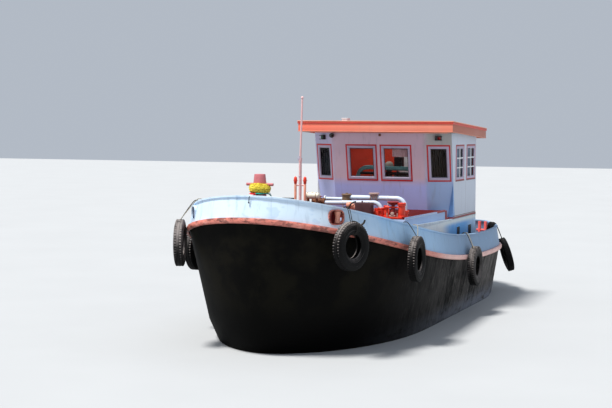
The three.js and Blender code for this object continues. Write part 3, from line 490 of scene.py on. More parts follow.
ROLLER_PINK = plain_paint(
    "roller_pink", "mast_paint", (1.0, 0.66, 0.56), (1.0, 0.90, 0.86), 128, chips=0.60, dirt=0.1,
)
PEACH = plain_paint("peach_paint", "mast_paint", (0.96, 0.64, 0.54), (0.60, 0.38, 0.28), 130, chips=0.66)
SLATE = plain_paint("slate_paint", "mast_paint", (0.20, 0.26, 0.40), (0.14, 0.16, 0.22), 133, chips=0.7)
BLACK = plain_paint("black_fitting", "rubber", (0.10, 0.10, 0.105), (0.24, 0.20, 0.18), 135, chips=0.68)
TEAL = plain_paint("teal_pipe", "pipe_paint", (0.46, 0.74, 0.74), (0.20, 0.30, 0.30), 140, chips=0.7)
IRON = metal_finish("engine_iron", "engine_iron", (0.40, 0.42, 0.42), (0.20, 0.21, 0.21), 145, metallic=0.6)
STEEL = metal_finish("bright_steel", "engine_iron", (0.66, 0.67, 0.69), (0.40, 0.41, 0.43), 150)
BRONZE = metal_finish("bronze", "bronze", (0.74, 0.54, 0.28), (0.42, 0.28, 0.14), 155)
ROPE_PALE = rope_finish("rope_pale", (0.80, 0.76, 0.66), (0.46, 0.42, 0.34), 160)
ROPE_DARK = rope_finish("rope_dark", (0.26, 0.25, 0.24), (0.10, 0.10, 0.10), 165)
CURTAIN_BROWN = cloth_finish("curtain_brown", (0.22, 0.17, 0.12), (0.10, 0.08, 0.06), 170)
CURTAIN_NAVY = cloth_finish("curtain_navy", (0.10, 0.14, 0.20), (0.05, 0.07, 0.10), 175)
CURTAIN_GREY = cloth_finish("curtain_grey", (0.66, 0.72, 0.80), (0.46, 0.52, 0.60), 178)
CURTAIN_PINK = cloth_finish("curtain_pink", (0.95, 0.82, 0.82), (0.76, 0.64, 0.66), 180)
# Painted shade: the port gusset's blue is the tone of shade on it.
SHADED_GUSSET = plain_paint(
    "gusset_blue", "wall_paint", (0.50, 0.68, 0.90), (0.40, 0.50, 0.68), 186, chips=0.74, dirt=0.05,
)
# Painted shade: the white enamel made greyer and bluer for the pipe runs.
PIPE_WHITE_SHADED = plain_paint("pipe_white_shaded", "pipe_paint", (0.80, 0.85, 0.92), RUST, 100, chips=0.70, dirt=0.10)
CLEAN_WHITE = plain_paint(
    "clean_white", "pipe_paint", (0.95, 0.98, 1.0), (0.60, 0.62, 0.66), 147, chips=0.8, dirt=0.05,
)
# Painted highlight: the starboard gusset is white to look sunlit.
GUSSET = plain_paint(
    "gusset_white", "wall_paint", (0.97, 1.0, 1.0), (0.72, 0.75, 0.80), 185, chips=0.74, dirt=0.05,
)
EDGE_CORAL = plain_paint(
    "edge_coral", "roof_paint", (0.88, 0.30, 0.24), (0.45, 0.16, 0.14), 190, chips=0.70, dirt=0.2,
)
BEAD_CORAL = plain_paint(
    "bead_coral", "roof_paint", (0.97, 0.62, 0.50), (0.60, 0.32, 0.26), 192, chips=0.70, dirt=0.2,
)
SILL_RED = plain_paint("sill_red", "wall_paint", (0.55, 0.30, 0.30), (0.34, 0.22, 0.20), 195, chips=0.66)
LEDGE = plain_paint(
    "ledge_pale", "deck_paint", (0.84, 0.90, 0.97), (0.45, 0.44, 0.46), 200, chips=0.66, dirt=0.25,
)
KHAKI = plain_paint("khaki_paint", "pipe_paint", (0.46, 0.36, 0.27), (0.25, 0.18, 0.14), 205, chips=0.62)
COUPLING = plain_paint("coupling_pink", "pipe_paint", (0.72, 0.60, 0.56), (0.40, 0.28, 0.24), 210, chips=0.62)
CREAM = plain_paint(
    "cream_paint", "pipe_paint", (0.91, 0.89, 0.82), (0.55, 0.45, 0.36), 215, chips=0.66, dirt=0.25,
)
LENS_CLEAR = lens_finish("lens_clear", (0.05, 0.05, 0.06), 220)
LENS_RED = lens_finish("lens_red", (0.62, 0.05, 0.05), 222)
LENS_GREEN = lens_finish("lens_green", (0.04, 0.42, 0.22), 224)
FLOWER_YELLOW = cloth_finish("flower_yellow", (1.0, 0.97, 0.42), (1.0, 0.88, 0.26), 240)
RIBBON_RED = cloth_finish("ribbon_red", (0.96, 0.24, 0.24), (0.80, 0.14, 0.16), 250)
RIBBON_GREEN = cloth_finish("ribbon_green", (0.12, 0.72, 0.66), (0.06, 0.54, 0.52), 255)
RIBBON_BLUE = cloth_finish("ribbon_blue", (0.80, 0.92, 0.98), (0.56, 0.72, 0.86), 260)

# Mesh pieces


def around(count, shift=0.0):
    """Angles of one turn in equal steps."""
    return [2 * pi * (i + shift) / count for i in range(count)]


def polar(radius, angle, height=0.0):
    return Vector((radius * cos(angle), radius * sin(angle), height))


def frame_of(direction):
    """Matrix whose Z axis runs along a direction."""
    z = Vector(direction).normalized()
    side = Z_AXIS if abs(z.z) < 0.95 else X_AXIS
    x = side.cross(z).normalized()
    return Matrix((x, z.cross(x), z)).transposed().to_4x4()


def aimed(at, direction):
    """Matrix at a place, whose Z axis runs along a direction."""
    return Matrix.Translation(at) @ frame_of(direction)


def upright(x, y):
    return Matrix.Translation((x, y, 0))


def path_frames(points, closed=False):
    """Points with a steady sideways axis along them."""
    count = len(points)
    frames = []
    side = None
    for i, point in enumerate(points):
        before = points[i - 1] if closed or i else points[0]
        after = points[(i + 1) % count] if closed or i + 1 < count else points[-1]
        along = (after - before).normalized()
        if side is None:
            side = frame_of(along).col[0].to_3d()
        side = (side - along * side.dot(along)).normalized()
        frames.append((point, side, along.cross(side)))
    return frames


def smooth_path(points, step=0.02):
    """Catmull-Rom curve through points, sampled about every step metres."""
    points = [Vector(p) for p in points]
    padded = [points[0] * 2 - points[1], *points, points[-1] * 2 - points[-2]]
    out = [points[0]]
    for a, b, c, d in zip(padded, padded[1:], padded[2:], padded[3:]):
        pieces = max(2, int((c - b).length / step))
        for i in range(1, pieces + 1):
            t = i / pieces
            bend = (2 * a - 5 * b + 4 * c - d) * t * t
            out.append(0.5 * (2 * b + (c - a) * t + bend + (3 * b - a - 3 * c + d) * t ** 3))
    return out


def rounded_drum(radius, low, high, edge=0.004):
    """Profile of a closed cylinder with rounded rims."""
    edge = min(edge, radius * 0.4, (high - low) * 0.4)
    return [
        (0, low), (radius - edge, low), (radius - edge * 0.3, low + edge * 0.3), (radius, low + edge),
        (radius, high - edge), (radius - edge * 0.3, high - edge * 0.3), (radius - edge, high), (0, high),
    ]


BOLT = ((1, 0), (1, 0.85), (0.8, 1), (0.5, 1), (0.45, 1.5), (0, 1.5))


class Mesh:
    """Mesh in the making, in row-frame coordinates. It ends as a piece."""

    def __init__(self):
        self.bm = bmesh.new()

    def verts(self, points):
        return [self.bm.verts.new(p) for p in points]

    def face(self, verts):
        self.bm.faces.new(verts)

    def piece(self, name, material, body="boat", angle=35):
        """Object that rides on a body, smooth up to an angle in degrees."""
        bmesh.ops.remove_doubles(self.bm, verts=self.bm.verts, dist=1e-6)
        bmesh.ops.recalc_face_normals(self.bm, faces=self.bm.faces)
        mesh = bpy.data.meshes.new(name)
        self.bm.to_mesh(mesh)
        self.bm.free()
        mesh.shade_smooth()
        mesh.set_sharp_from_angle(angle=radians(angle))
        mesh.materials.append(material)
        obj = add_object(name, mesh)
        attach(obj, body)
        SLOT_OF[material.name.split(".")[0]]
        return obj

    def join(self, lower, upper):
        """Faces between two rings, or a ring and a point."""
        count = max(len(lower), len(upper))
        if count == 1:
            return
        for i in range(count):
            k = (i + 1) % count
            if len(lower) == 1:
                self.face((lower[0], upper[k], upper[i]))
            elif len(upper) == 1:
                self.face((lower[i], lower[k], upper[0]))
            else:
                self.face((lower[i], lower[k], upper[k], upper[i]))

    def skin(self, rings, closed=False, capped=False):
        """Faces from ring to ring."""
        for lower, upper in zip(rings, rings[1:] + rings[:1] if closed else rings[1:]):
            self.join(lower, upper)
        if capped:
            self.face(list(reversed(rings[0])))
            self.face(rings[-1])

    def sheet(self, grid):
        """Faces between the rows of a grid of corners."""
        for a, b in zip(grid, grid[1:]):
            for k in range(len(a) - 1):
                self.face((a[k], a[k + 1], b[k + 1], b[k]))

    def prism(self, outline, offset):
        """Solid between a flat outline and its copy at an offset."""
        near = self.verts(Vector(p) for p in outline)
        far = self.verts(Vector(p) + Vector(offset) for p in outline)
        self.face(near)
        self.face(list(reversed(far)))
        self.join(near, far)

    def box(self, lo, hi, bevel=0.006, place=None):
        """Box with rounded edges between two corners."""
        lo, hi = Vector(lo), Vector(hi)
        size = hi - lo
        matrix = Matrix.Translation((lo + hi) / 2) @ Matrix.Diagonal((*size, 1))
        verts = bmesh.ops.create_cube(self.bm, size=1.0, matrix=matrix)["verts"]
        edges = list({edge for vert in verts for edge in vert.link_edges})
        offset = min(bevel, min(size) * 0.45)
        out = bmesh.ops.bevel(self.bm, geom=edges, offset=offset, segments=2, profile=0.7, affect="EDGES")
        if place is not None:
            touched = list({vert for face in out["faces"] for vert in face.verts})
            bmesh.ops.transform(self.bm, matrix=place, verts=touched)

    def block(self, x, y, z, bevel=0.006):
        """Box by its span in each direction, in either order."""
        spans = [sorted(span) for span in (x, y, z)]
        self.box([low for low, _ in spans], [high for _, high in spans], bevel)

    def lathe(self, profile, place, steps=24):
        """Body of revolution about the matrix's Z axis. The profile is (radius, height) points."""
        rings = []
        for radius, height in profile:
            angles = around(steps) if radius >= 1e-6 else (0.0,)
            rings.append(self.verts(place @ polar(radius, angle, height) for angle in angles))
        self.skin(rings)

    def drum(self, start, end, radius, edge=0.004, steps=24):
        """Cylinder with rounded rims between two points."""
        start, end = Vector(start), Vector(end)
        profile = rounded_drum(radius, 0, (end - start).length, edge)
        self.lathe(profile, aimed(start, end - start), steps)

    def tube(self, points, radius, sides=10, closed=False, lobes=0, pitch=0.1):
        """Tube along points. With lobes it is a laid rope of that many strands."""
        points = [Vector(p) for p in points]
        rings = []
        run = 0.0
        for i, (point, side, up) in enumerate(path_frames(points, closed)):
            if i:
                run += (points[i] - points[i - 1]).length
            ring = []
            for angle in around(sides):
                reach = radius
                if lobes:
                    reach = radius * (0.84 + 0.16 * cos(lobes * (angle - 2 * pi * run / pitch)))
                ring.append(point + (side * cos(angle) + up * sin(angle)) * reach)
            rings.append(self.verts(ring))
        self.skin(rings, closed, capped=not closed)

    def ring(self, centre, axis, radius, tube, steps=32, sides=8):
        """Torus about an axis."""
        place = aimed(centre, axis)
        self.tube([place @ polar(radius, angle) for angle in around(steps)], tube, sides, closed=True)

    def bolts(self, centre, axis, radius, count, size=0.012, high=0.012, turn=0.0):
        """Ring of hexagon bolt heads with their ends standing on a flange."""
        profile = [(0, 0), *((r * size, h * high) for r, h in BOLT)]
        for angle in around(count, turn):
            self.lathe(profile, aimed(centre, axis) @ Matrix.Translation(polar(radius, angle)), 6)

    def flange(self, centre, axis, radius, thick=0.02, bolts=6, both=True):
        """Flange disc with bolt heads on one face or both."""
        centre, half = Vector(centre), Vector(axis).normalized() * thick / 2
        self.drum(centre - half, centre + half, radius, 0.003, 28)
        self.bolts(centre + half, half, radius * 0.80, bolts, 0.009, 0.009)
        if both:
            self.bolts(centre - half, -half, radius * 0.80, bolts, 0.009, 0.009)

    def handwheel(self, centre, axis, radius, tube=0.010):
        centre, axis = Vector(centre), Vector(axis).normalized()
        self.ring(centre, axis, radius, tube, 36, 8)
        for angle in around(5):
            rim = aimed(centre, axis) @ polar(radius, angle)
            self.tube([centre - axis * 0.012, centre.lerp(rim, 0.5) - axis * 0.008, rim], tube * 0.7, 6)
        self.drum(centre - axis * 0.03, centre + axis * 0.012, 0.022, 0.003, 14)

    def moulding(self, wall, wide, high, profile):
        """Mitred frame round a rectangle on a wall. The profile is (inset, depth) points, depth outward."""
        rings = []
        for s, t, ds, dt in ((0, 0, 1, 1), (wide, 0, -1, 1), (wide, high, -1, -1), (0, high, 1, -1)):
            points = [Vector((s + ds * inset, t + dt * inset, depth)) for inset, depth in profile]
            rings.append(self.verts(wall @ point for point in points))
        self.skin(rings, closed=True)

    def bar(self, wall, along, up, out, bevel=0.003):
        """Rounded bar on a wall, by its spans along it, up it and out from it."""
        self.box(*zip(along, up, out), bevel, wall)


def wall_at(origin, along, up=Z_AXIS):
    """Matrix on a wall: X along it, Y up it and Z out of it."""
    along, up = Vector(along).normalized(), Vector(up).normalized()
    return axes_at(origin, along, up, along.cross(up).normalized())


def thicken(obj, thickness, offset=-1.0):
    """Give a sheet its thickness."""
    modifier = obj.modifiers.new("thickness", "SOLIDIFY")
    modifier.thickness = thickness
    modifier.offset = offset


# The boat's lines, as the CAD has them, in metres

SHEER_LOW = (-2.63, 1.382)
HALF, BOW, STERN, FORE_SHOULDER, AFT_SHOULDER = 2.478, 7.22, -7.2, 2.11, -2.4
RAKE, SILL, HEAD, FRONT = 0.196, 3.183, 4.028, -1.02
CASING_TOP, COAMING_TOP = 2.215, 2.44
HOUSE_HALF, CENTRE_HALF, FACET_DEEP = 1.805, 1.213, 0.362
FACET_WIDE = HOUSE_HALF - CENTRE_HALF
FACET_SLOPE = atan2(FACET_DEEP, FACET_WIDE)
CORNER_X = FRONT - FACET_DEEP
HOUSE_AFT = -3.705
BASE_Z = 2.2165
TOP_Z = 2.4403
DOOR_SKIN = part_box("house_door")[0].x


def sheer(x):
    run = x - SHEER_LOW[0]
    return SHEER_LOW[1] + (0.014 if run > 0 else -0.006) * run * run


def half_breadth(x):
    bow = min(max((x - FORE_SHOULDER) / (BOW - FORE_SHOULDER), 0), 1)
    stern = min(max((AFT_SHOULDER - x) / (AFT_SHOULDER - STERN), 0), 1)
    return HALF * (1 - bow ** 2.84) ** (1 / 2.02) * (1 - stern ** 2.33) ** (1 / 2.04)


def bulwark_high(x):
    run = min(max((-5.2 - x) / 1.3, 0), 1)
    return 0.485 - 0.013 * max(x - 2.5, 0) + 0.078 * run * run * (3 - 2 * run)


def edge_normal(x, side):
    low, high = max(x - 0.02, STERN), min(x + 0.02, BOW)
    slope = (half_breadth(high) - half_breadth(low)) / (high - low)
    return Vector((-slope, side, 0)).normalized()


def deck_edge(x, side, out=0.0, up=0.0):
    """Point off the deck's edge, out across it and up from the sheer."""
    at = Vector((x, side * half_breadth(x), sheer(x)))
    return at + edge_normal(x, side) * out + Z_AXIS * up


def front_x(z):
    """The raked front wall's outer face at a height."""
    return FRONT + (z - SILL) * RAKE


# Light and floor

SUN_ENERGY = 4.9
SUN_SOFTNESS = radians(12)
SUN_AZIMUTH = radians(-42)
SUN_ELEVATION = radians(67)
WORLD_STRENGTH = 0.56
CABIN_ENERGY = 16
FLOOR_REACH = 120


def make_light():
    data = bpy.data.lights.new("key", "SUN")
    data.energy = SUN_ENERGY
    data.angle = SUN_SOFTNESS
    data.color = (1.0, 0.97, 0.92)
    towards = polar(cos(SUN_ELEVATION), SUN_AZIMUTH, sin(SUN_ELEVATION))
    light = add_object("key", data)
    light.rotation_mode = "QUATERNION"
    light.rotation_quaternion = towards.to_track_quat("Z", "Y")


def make_cabin_light():
    """Soft panel under the roof, as the small room gets little light through its glass."""
    data = bpy.data.lights.new("cabin", "AREA")
    data.shape = "RECTANGLE"
    data.size, data.size_y = 1.8, 2.6
    data.energy = CABIN_ENERGY
    panel = add_object("cabin", data)
    panel.location = (-2.45, 0, 4.29)
    panel.visible_camera = False


def make_world():
    world = bpy.data.worlds.new("pale_studio")
    world.use_nodes = True
    background = world.node_tree.nodes["Background"]
    background.inputs["Color"].default_value = (0.80, 0.88, 1.0, 1.0)
    background.inputs["Strength"].default_value = WORLD_STRENGTH
    SCENE.world = world
    SCENE.view_settings.view_transform = "Standard"


def make_floor():
    mesh = bpy.data.meshes.new("floor")
    corners = [(x * FLOOR_REACH, y * FLOOR_REACH, 0) for x, y in ((-1, -1), (1, -1), (1, 1), (-1, 1))]
    mesh.from_pydata(corners, [], [(0, 1, 2, 3)])
    floor = add_object("floor", mesh)
    f = Finish("pale_floor", None, specular=0.2)
    f.base(f.noise(0.3), (0.69, 0.70, 0.71), (0.72, 0.73, 0.74))
    mesh.materials.append(f.done(0.8))


make_light()
make_cabin_light()
make_world()
make_floor()

# Tyre ropes

# Each tyre's side, and its turn and lean in degrees
TYRES = {
    "tyre_port_bow": (1, 20, 0), "tyre_port_mid": (1, -2, 0), "tyre_port_aft": (1, 0, 0),
    "tyre_port_quarter": (1, -22, 17), "tyre_starboard_bow": (-1, 20, 0), "tyre_starboard_mid": (-1, 0, 0),
    "tyre_starboard_aft": (-1, 0, 0),
}
TYRE_R = 0.475
# Where each rope crosses the bulwark's cap, and the angle round the tyre at which it ends
ROPE_LEADS = {
    "tyre_port_bow": ((6.17, 0.05), (6.13, -0.06)), "tyre_port_mid": ((4.22, 0.02), (3.72, -0.12)),
    "tyre_port_aft": ((-0.30, 0.46), (-0.42, 0.34)), "tyre_port_quarter": ((-5.46, 0.10), (-5.58, -0.05)),
}
# Way of a rope from its eye over the cap: out from the deck's edge, and up from the cap
OVER_CAP = ((-0.150, -0.16), (-0.172, -0.04), (-0.140, 0.024), (-0.095, 0.030), (-0.048, 0.018))


def tyre_place(name):
    side, turn, lean = TYRES[name]
    lo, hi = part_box(name)
    turned = Matrix.Rotation(radians(-turn * side), 4, "Z") @ Matrix.Rotation(radians(lean * side), 4, "X")
    return Matrix.Translation((lo + hi) / 2) @ turned


def rope_route(x, side, end):
    """From an eye inside the bulwark, over its cap and down to the tyre's tread."""
    over = [deck_edge(x, side, out, bulwark_high(x) + up) for out, up in OVER_CAP]
    lower = over[-1].lerp(end, 0.35) + edge_normal(x, side) * 0.01
    return smooth_path([*over, lower, end], 0.02)


def rope_leads(name):
    if name in ROPE_LEADS:
        return ROPE_LEADS[name]
    top = tyre_place(name) @ Vector((0, 0, TYRE_R))
    return (top.x - 0.08, -0.11), (top.x + 0.10, 0.13)


def make_tyre_ropes(name):
    # Both ropes of the port bow and quarter tyres are dark; at the bow tyre the dark rope also stands in for
    # a shadow line along the tyre: partly painted shade.
    dark = name in ("tyre_port_bow", "tyre_port_quarter")
    kinds = (("a", 0.0095, ROPE_DARK), ("b", 0.008, ROPE_DARK if dark else ROPE_PALE))
    for (x, angle), (tag, radius, material) in zip(rope_leads(name), kinds):
        reach = TYRE_R - 0.012
        end = tyre_place(name) @ Vector((reach * sin(angle), 0, reach * cos(angle)))
        path = rope_route(x, TYRES[name][0], end)
        m = Mesh()
        m.tube(path, radius, 12, lobes=3, pitch=0.05)
        rope = m.piece(f"{name}_rope_{tag}", material, angle=80)


for tyre_name in TYRES:
    make_tyre_ropes(tyre_name)

# Finishes of the CAD nodes, with rounded edges

CAD_FINISH = {
    "hull": HULL, "rudder": HULL, "rubbing_strake": STRAKE, "fairlead_port": STRAKE,
    "fairlead_starboard": BULWARK, "bulwark": BULWARK, "casing": CASING, "hatch_lid": DECK_RED,
    "house": WALL, "house_door": WHITE, "roof": ROOF, "steps": DECK_RED, "helm_console": WOOD,
    "steering_wheel": WOOD, "helm_seat": LEATHER, "bow_bollard": BOLLARD_RED, "mast_posts": RED,
    "mast": MAST_PINK, "pump_manifold": RED, "pipe": WHITE, "winch": BROWN, "aft_bollard": BITT_RED,
    "engine": IRON, "propeller": BRONZE, "pane": GLASS, "tyre": RUBBER,
}
BEVELS = {
    "casing": 0.012, "hatch_lid_port": 0.006, "hatch_lid_starboard": 0.006, "house_door": 0.005,
    "steps": 0.008, "helm_console": 0.008, "roof": 0.010, "mast_posts": 0.003, "aft_bollard_port": 0.004,
    "aft_bollard_starboard": 0.004, "bow_bollard": 0.006,
}
SMOOTH_UP_TO = radians(32)
BEVEL_FROM = radians(40)


def smoothing_group():
    """Geometry nodes: weld the corners, then smooth shading with edges over an angle left sharp."""
    group = bpy.data.node_groups.new("smooth_by_angle", "GeometryNodeTree")
    for way in ("INPUT", "OUTPUT"):
        group.interface.new_socket("Geometry", in_out=way, socket_type="NodeSocketGeometry")
    chain = [group.nodes.new(kind) for kind in (
        "NodeGroupInput", "GeometryNodeRemoveAttribute", "GeometryNodeMergeByDistance",
        "GeometryNodeSetShadeSmooth", "GeometryNodeSetShadeSmooth", "NodeGroupOutput",
    )]
    plain, weld, edges = chain[1], chain[2], chain[4]
    plain.inputs["Name"].default_value = "custom_normal"
    weld.inputs["Distance"].default_value = 0.00001
    edges.domain = "EDGE"
    angle = group.nodes.new("GeometryNodeInputMeshEdgeAngle")
    compare = group.nodes.new("FunctionNodeCompare")
    compare.operation = "LESS_THAN"
    compare.inputs[1].default_value = SMOOTH_UP_TO
    group.links.new(angle.outputs["Unsigned Angle"], compare.inputs[0])
    group.links.new(compare.outputs[0], edges.inputs["Shade Smooth"])
    for before, after in zip(chain, chain[1:]):
        group.links.new(before.outputs[0], after.inputs[0])
    return group


def cad_finish(name):
    """A node's finish, found by its whole name or by what it begins with."""
    while name not in CAD_FINISH:
        name = name.rpartition("_")[0]
    return CAD_FINISH[name]


def finish_nodes():
    group = smoothing_group()
    for name, obj in NODES.items():
        for slot in obj.material_slots:
            slot.material = cad_finish(name)
        obj.modifiers.new("weld", "NODES").node_group = group
        if name in BEVELS:
            bevel = obj.modifiers.new("rounded", "BEVEL")
            bevel.width = BEVELS[name]
            bevel.segments = 2
            bevel.limit_method = "ANGLE"
            bevel.angle_limit = BEVEL_FROM
            obj.modifiers.new("smooth", "NODES").node_group = group


finish_nodes()

# Tyres

TREAD_BLOCKS = 52
TREAD_DEEP = 0.011
TYRE_RUBBER = {
    "tyre_port_aft": DUSTY_RUBBER, "tyre_starboard_bow": DUSTY_RUBBER, "tyre_port_quarter": BLACK_RUBBER,
}


def tyre_profile():
    """Closed section of the carcass: (radius, across, is tread)."""
    outer = [(0.236, 0.048), (0.243, 0.066), (0.262, 0.073), (0.290, 0.083), (0.325, 0.091), (0.370, 0.0945),
             (0.400, 0.0925), (0.425, 0.088), (0.427, 0.0865), (0.445, 0.083), (0.458, 0.078)]
    tread = [0.070, 0.052, 0.047, 0.027, 0.022, 0.004]
    inner = [(0.445, 0.040), (0.430, 0.068), (0.390, 0.078), (0.320, 0.074), (0.265, 0.056), (0.240, 0.040)]
    half = [(r, h, False) for r, h in outer] + [(TYRE_R, h, True) for h in tread]
    mirror = [(r, -h, t) for r, h, t in reversed(half)]
    return half + mirror + [(r, -h, False) for r, h in inner[::-1]] + [(r, h, False) for r, h in inner]


def tread_radius(radius, across, angle):
    """The tread's surface, lower in its grooves."""
    centre_groove = 0.022 < abs(across) < 0.047
    cell = (angle / (2 * pi) * TREAD_BLOCKS + (0.35 if across > 0 else 0.0)) % 1.0
    cross_groove = cell > 0.72 and abs(across) > 0.03
    return radius - (TREAD_DEEP if centre_groove or cross_groove else 0.0)


def wheel_ring(m, place, section, angle):
    """Ring of corners for (radius, across) points, at an angle about the place's Y axis."""
    return m.verts(place @ Vector((r * cos(angle), across, r * sin(angle))) for r, across in section)


def make_tyre(name):
    place = tyre_place(name)
    profile = tyre_profile()
    m = Mesh()
    rings = []
    for angle in around(TREAD_BLOCKS * 4, 0.5):
        section = [(tread_radius(r, h, angle) if tread else r, h) for r, h, tread in profile]
        rings.append(wheel_ring(m, place, section, angle))
    m.skin(rings, closed=True)
    for wall in (0.0955, -0.0955):
        for share, radius, tube in ((0.93, 0.315, 0.0035), (0.955, 0.392, 0.003)):
            m.ring(place @ Vector((0, wall * share, 0)), place.to_3x3() @ Y_AXIS, radius, tube, 64, 6)
    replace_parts(m.piece(name + "_carcass", TYRE_RUBBER.get(name, RUBBER), angle=32), name)


for tyre_name in TYRES:
    make_tyre(tyre_name)

# Windows

RED_LINE = [
    (-0.036, -0.001), (-0.036, 0.003), (-0.032, 0.005), (-0.002, 0.005), (0.003, 0.003), (0.003, -0.001),
]
FRAME_FACE = [
    (0.001, -0.024), (0.001, 0.003), (0.006, 0.006), (0.052, 0.006), (0.058, 0.003), (0.066, -0.014),
    (0.072, -0.0245),
]
GASKET = [
    (0.066, -0.0248), (0.066, -0.019), (0.070, -0.017), (0.078, -0.017), (0.082, -0.020), (0.082, -0.0248),
]
WINDOW_HIGH = HEAD - SILL
SLANTED_HIGH = WINDOW_HIGH * hypot(RAKE, 1)
FRONT_WIDE = 0.753
FACET_LONG = hypot(FACET_DEEP, FACET_WIDE)
FACET_START, FACET_END = 0.11, 0.883


def openings():
    """Each window: name, matrix on its wall at its lower corner, width and height."""
    up = (RAKE, 0, 1)
    out = []
    for side, hand in SIDES:
        corner = (FRONT, 0.075 if side > 0 else -0.828, SILL)
        out.append((f"front_{hand}", wall_at(corner, Y_AXIS, up), FRONT_WIDE, SLANTED_HIGH))
        run = Vector((-sin(FACET_SLOPE), side * cos(FACET_SLOPE), 0))
        reach = (FACET_START if side > 0 else FACET_END) * FACET_LONG
        corner = Vector((FRONT, side * CENTRE_HALF, SILL)) + run * reach
        wide = (FACET_END - FACET_START) * FACET_LONG
        out.append((f"facet_{hand}", wall_at(corner, run * side, up), wide, SLANTED_HIGH))
        for name, fore, aft in (("fore", -1.640, -2.397), ("aft", -2.722, -3.560)):
            corner = (fore if side > 0 else aft, side * HOUSE_HALF, SILL)
            out.append((f"{hand}_{name}", wall_at(corner, X_AXIS * -side), fore - aft, WINDOW_HIGH))
    return out


def make_window(name, wall, wide, high):
    for part, material, profile in (
        ("line", LINE_RED, RED_LINE), ("frame", TRIM, FRAME_FACE), ("gasket", BLACK, GASKET),
    ):
        m = Mesh()
        m.moulding(wall, wide, high, profile)
        m.piece(f"window_{part}_{name}", material)


def make_side_window(name, wall, wide, high):
    """White bars over a side window, two panes by three, and its dull red sill and head strips."""
    m = Mesh()
    m.bar(wall, (wide / 2 - 0.02, wide / 2 + 0.02), (0.06, high - 0.06), (-0.018, 0.004))
    for part in (1 / 3, 2 / 3):
        at = 0.06 + (high - 0.12) * part
        m.bar(wall, (0.06, wide - 0.06), (at - 0.016, at + 0.016), (-0.018, 0.002))
    m.piece(f"window_grille_{name}", WHITE)
    m = Mesh()
    m.bar(wall, (-0.035, wide + 0.035), (-0.040, -0.012), (-0.001, 0.014))
    m.bar(wall, (-0.030, wide + 0.030), (high + 0.010, high + 0.026), (-0.001, 0.010))
    m.piece(f"window_sill_{name}", SILL_RED)


for opening in openings():
    make_window(*opening)
    if opening[0].startswith(("port", "starboard")):
        make_side_window(*opening)

# Wheelhouse trim

ROOF_CORNERS = ((-0.665, -2.076), (-0.665, 1.966), (-4.120, 1.966), (-4.120, -2.076))
SKIRTING = (BASE_Z, BASE_Z + 0.045)
GUSSET_RUN = 0.19


def make_corner_gusset(side, hand):
    """Plate that fills the wedge between the side wall's upright fore edge and the raked facet."""
    base_x = front_x(BASE_Z) - FACET_DEEP
    half = side * (HOUSE_HALF + 0.001)
    inboard = side * (HOUSE_HALF - GUSSET_RUN * cos(FACET_SLOPE))
    m = Mesh()
    top, fore, inner, aft = m.verts([
        (CORNER_X - 0.004, half, SILL - 0.04), (CORNER_X, side * (HOUSE_HALF + 0.002), BASE_Z),
        (base_x + GUSSET_RUN * sin(FACET_SLOPE), inboard, BASE_Z), (base_x - 0.01, half, BASE_Z),
    ])
    for face in ((top, fore, inner), (top, aft, fore), (fore, aft, inner), (top, inner, aft)):
        m.face(face)
    # Painted shade on the port gusset, painted highlight on the starboard one.
    gusset = m.piece(f"corner_gusset_{hand}", SHADED_GUSSET if side > 0 else GUSSET)
    rounding = gusset.modifiers.new("rounded", "BEVEL")
    rounding.width = 0.004
    rounding.segments = 2


def roof_z(x):
    return 4.638 - 0.160 / 3.455 * (-0.665 - x)


def make_roof_strip(name, material, profile):
    """Strip round the roof's edge. The profile is (outset, height from the roof's top edge) points."""
    m = Mesh()
    rings = []
    for x, y in ROOF_CORNERS:
        out_x, out_y = (1 if x > -2 else -1), (1 if y > 0 else -1)
        rings.append(m.verts((x + out_x * o, y + out_y * o, roof_z(x) + dz) for o, dz in profile))
    m.skin(rings, closed=True)
    m.piece(name, material)


def make_roof_edge():
    make_roof_strip("roof_edge_band", EDGE_CORAL, [
        (-0.03, -0.062), (0.010, -0.064), (0.014, -0.058), (0.014, -0.016), (0.010, -0.010), (-0.03, -0.010),
    ])
    make_roof_strip("roof_edge_bead", BEAD_CORAL, [
        (-0.04, -0.009), (0.016, -0.009), (0.020, -0.004), (0.018, 0.010), (0.010, 0.014), (-0.04, 0.012),
    ])
    make_roof_strip("roof_drip_bead", BEAD_CORAL, [
        (-0.02, -0.260), (0.004, -0.261), (0.007, -0.257), (0.006, -0.249), (0.002, -0.246), (-0.02, -0.247),
    ])


def make_roof_locker():
    top = roof_z(-0.86)
    m = Mesh()
    m.box((-0.96, -0.935, top - 0.004), (-0.76, -0.785, top + 0.072), 0.010)
    m.box((-0.97, -0.945, top + 0.070), (-0.75, -0.775, top + 0.090), 0.007)
    for y in (-0.90, -0.82):
        m.drum((-0.751, y, top + 0.030), (-0.742, y, top + 0.030), 0.008, 0.002, 10)
    m.piece("roof_locker", CLEAN_WHITE)


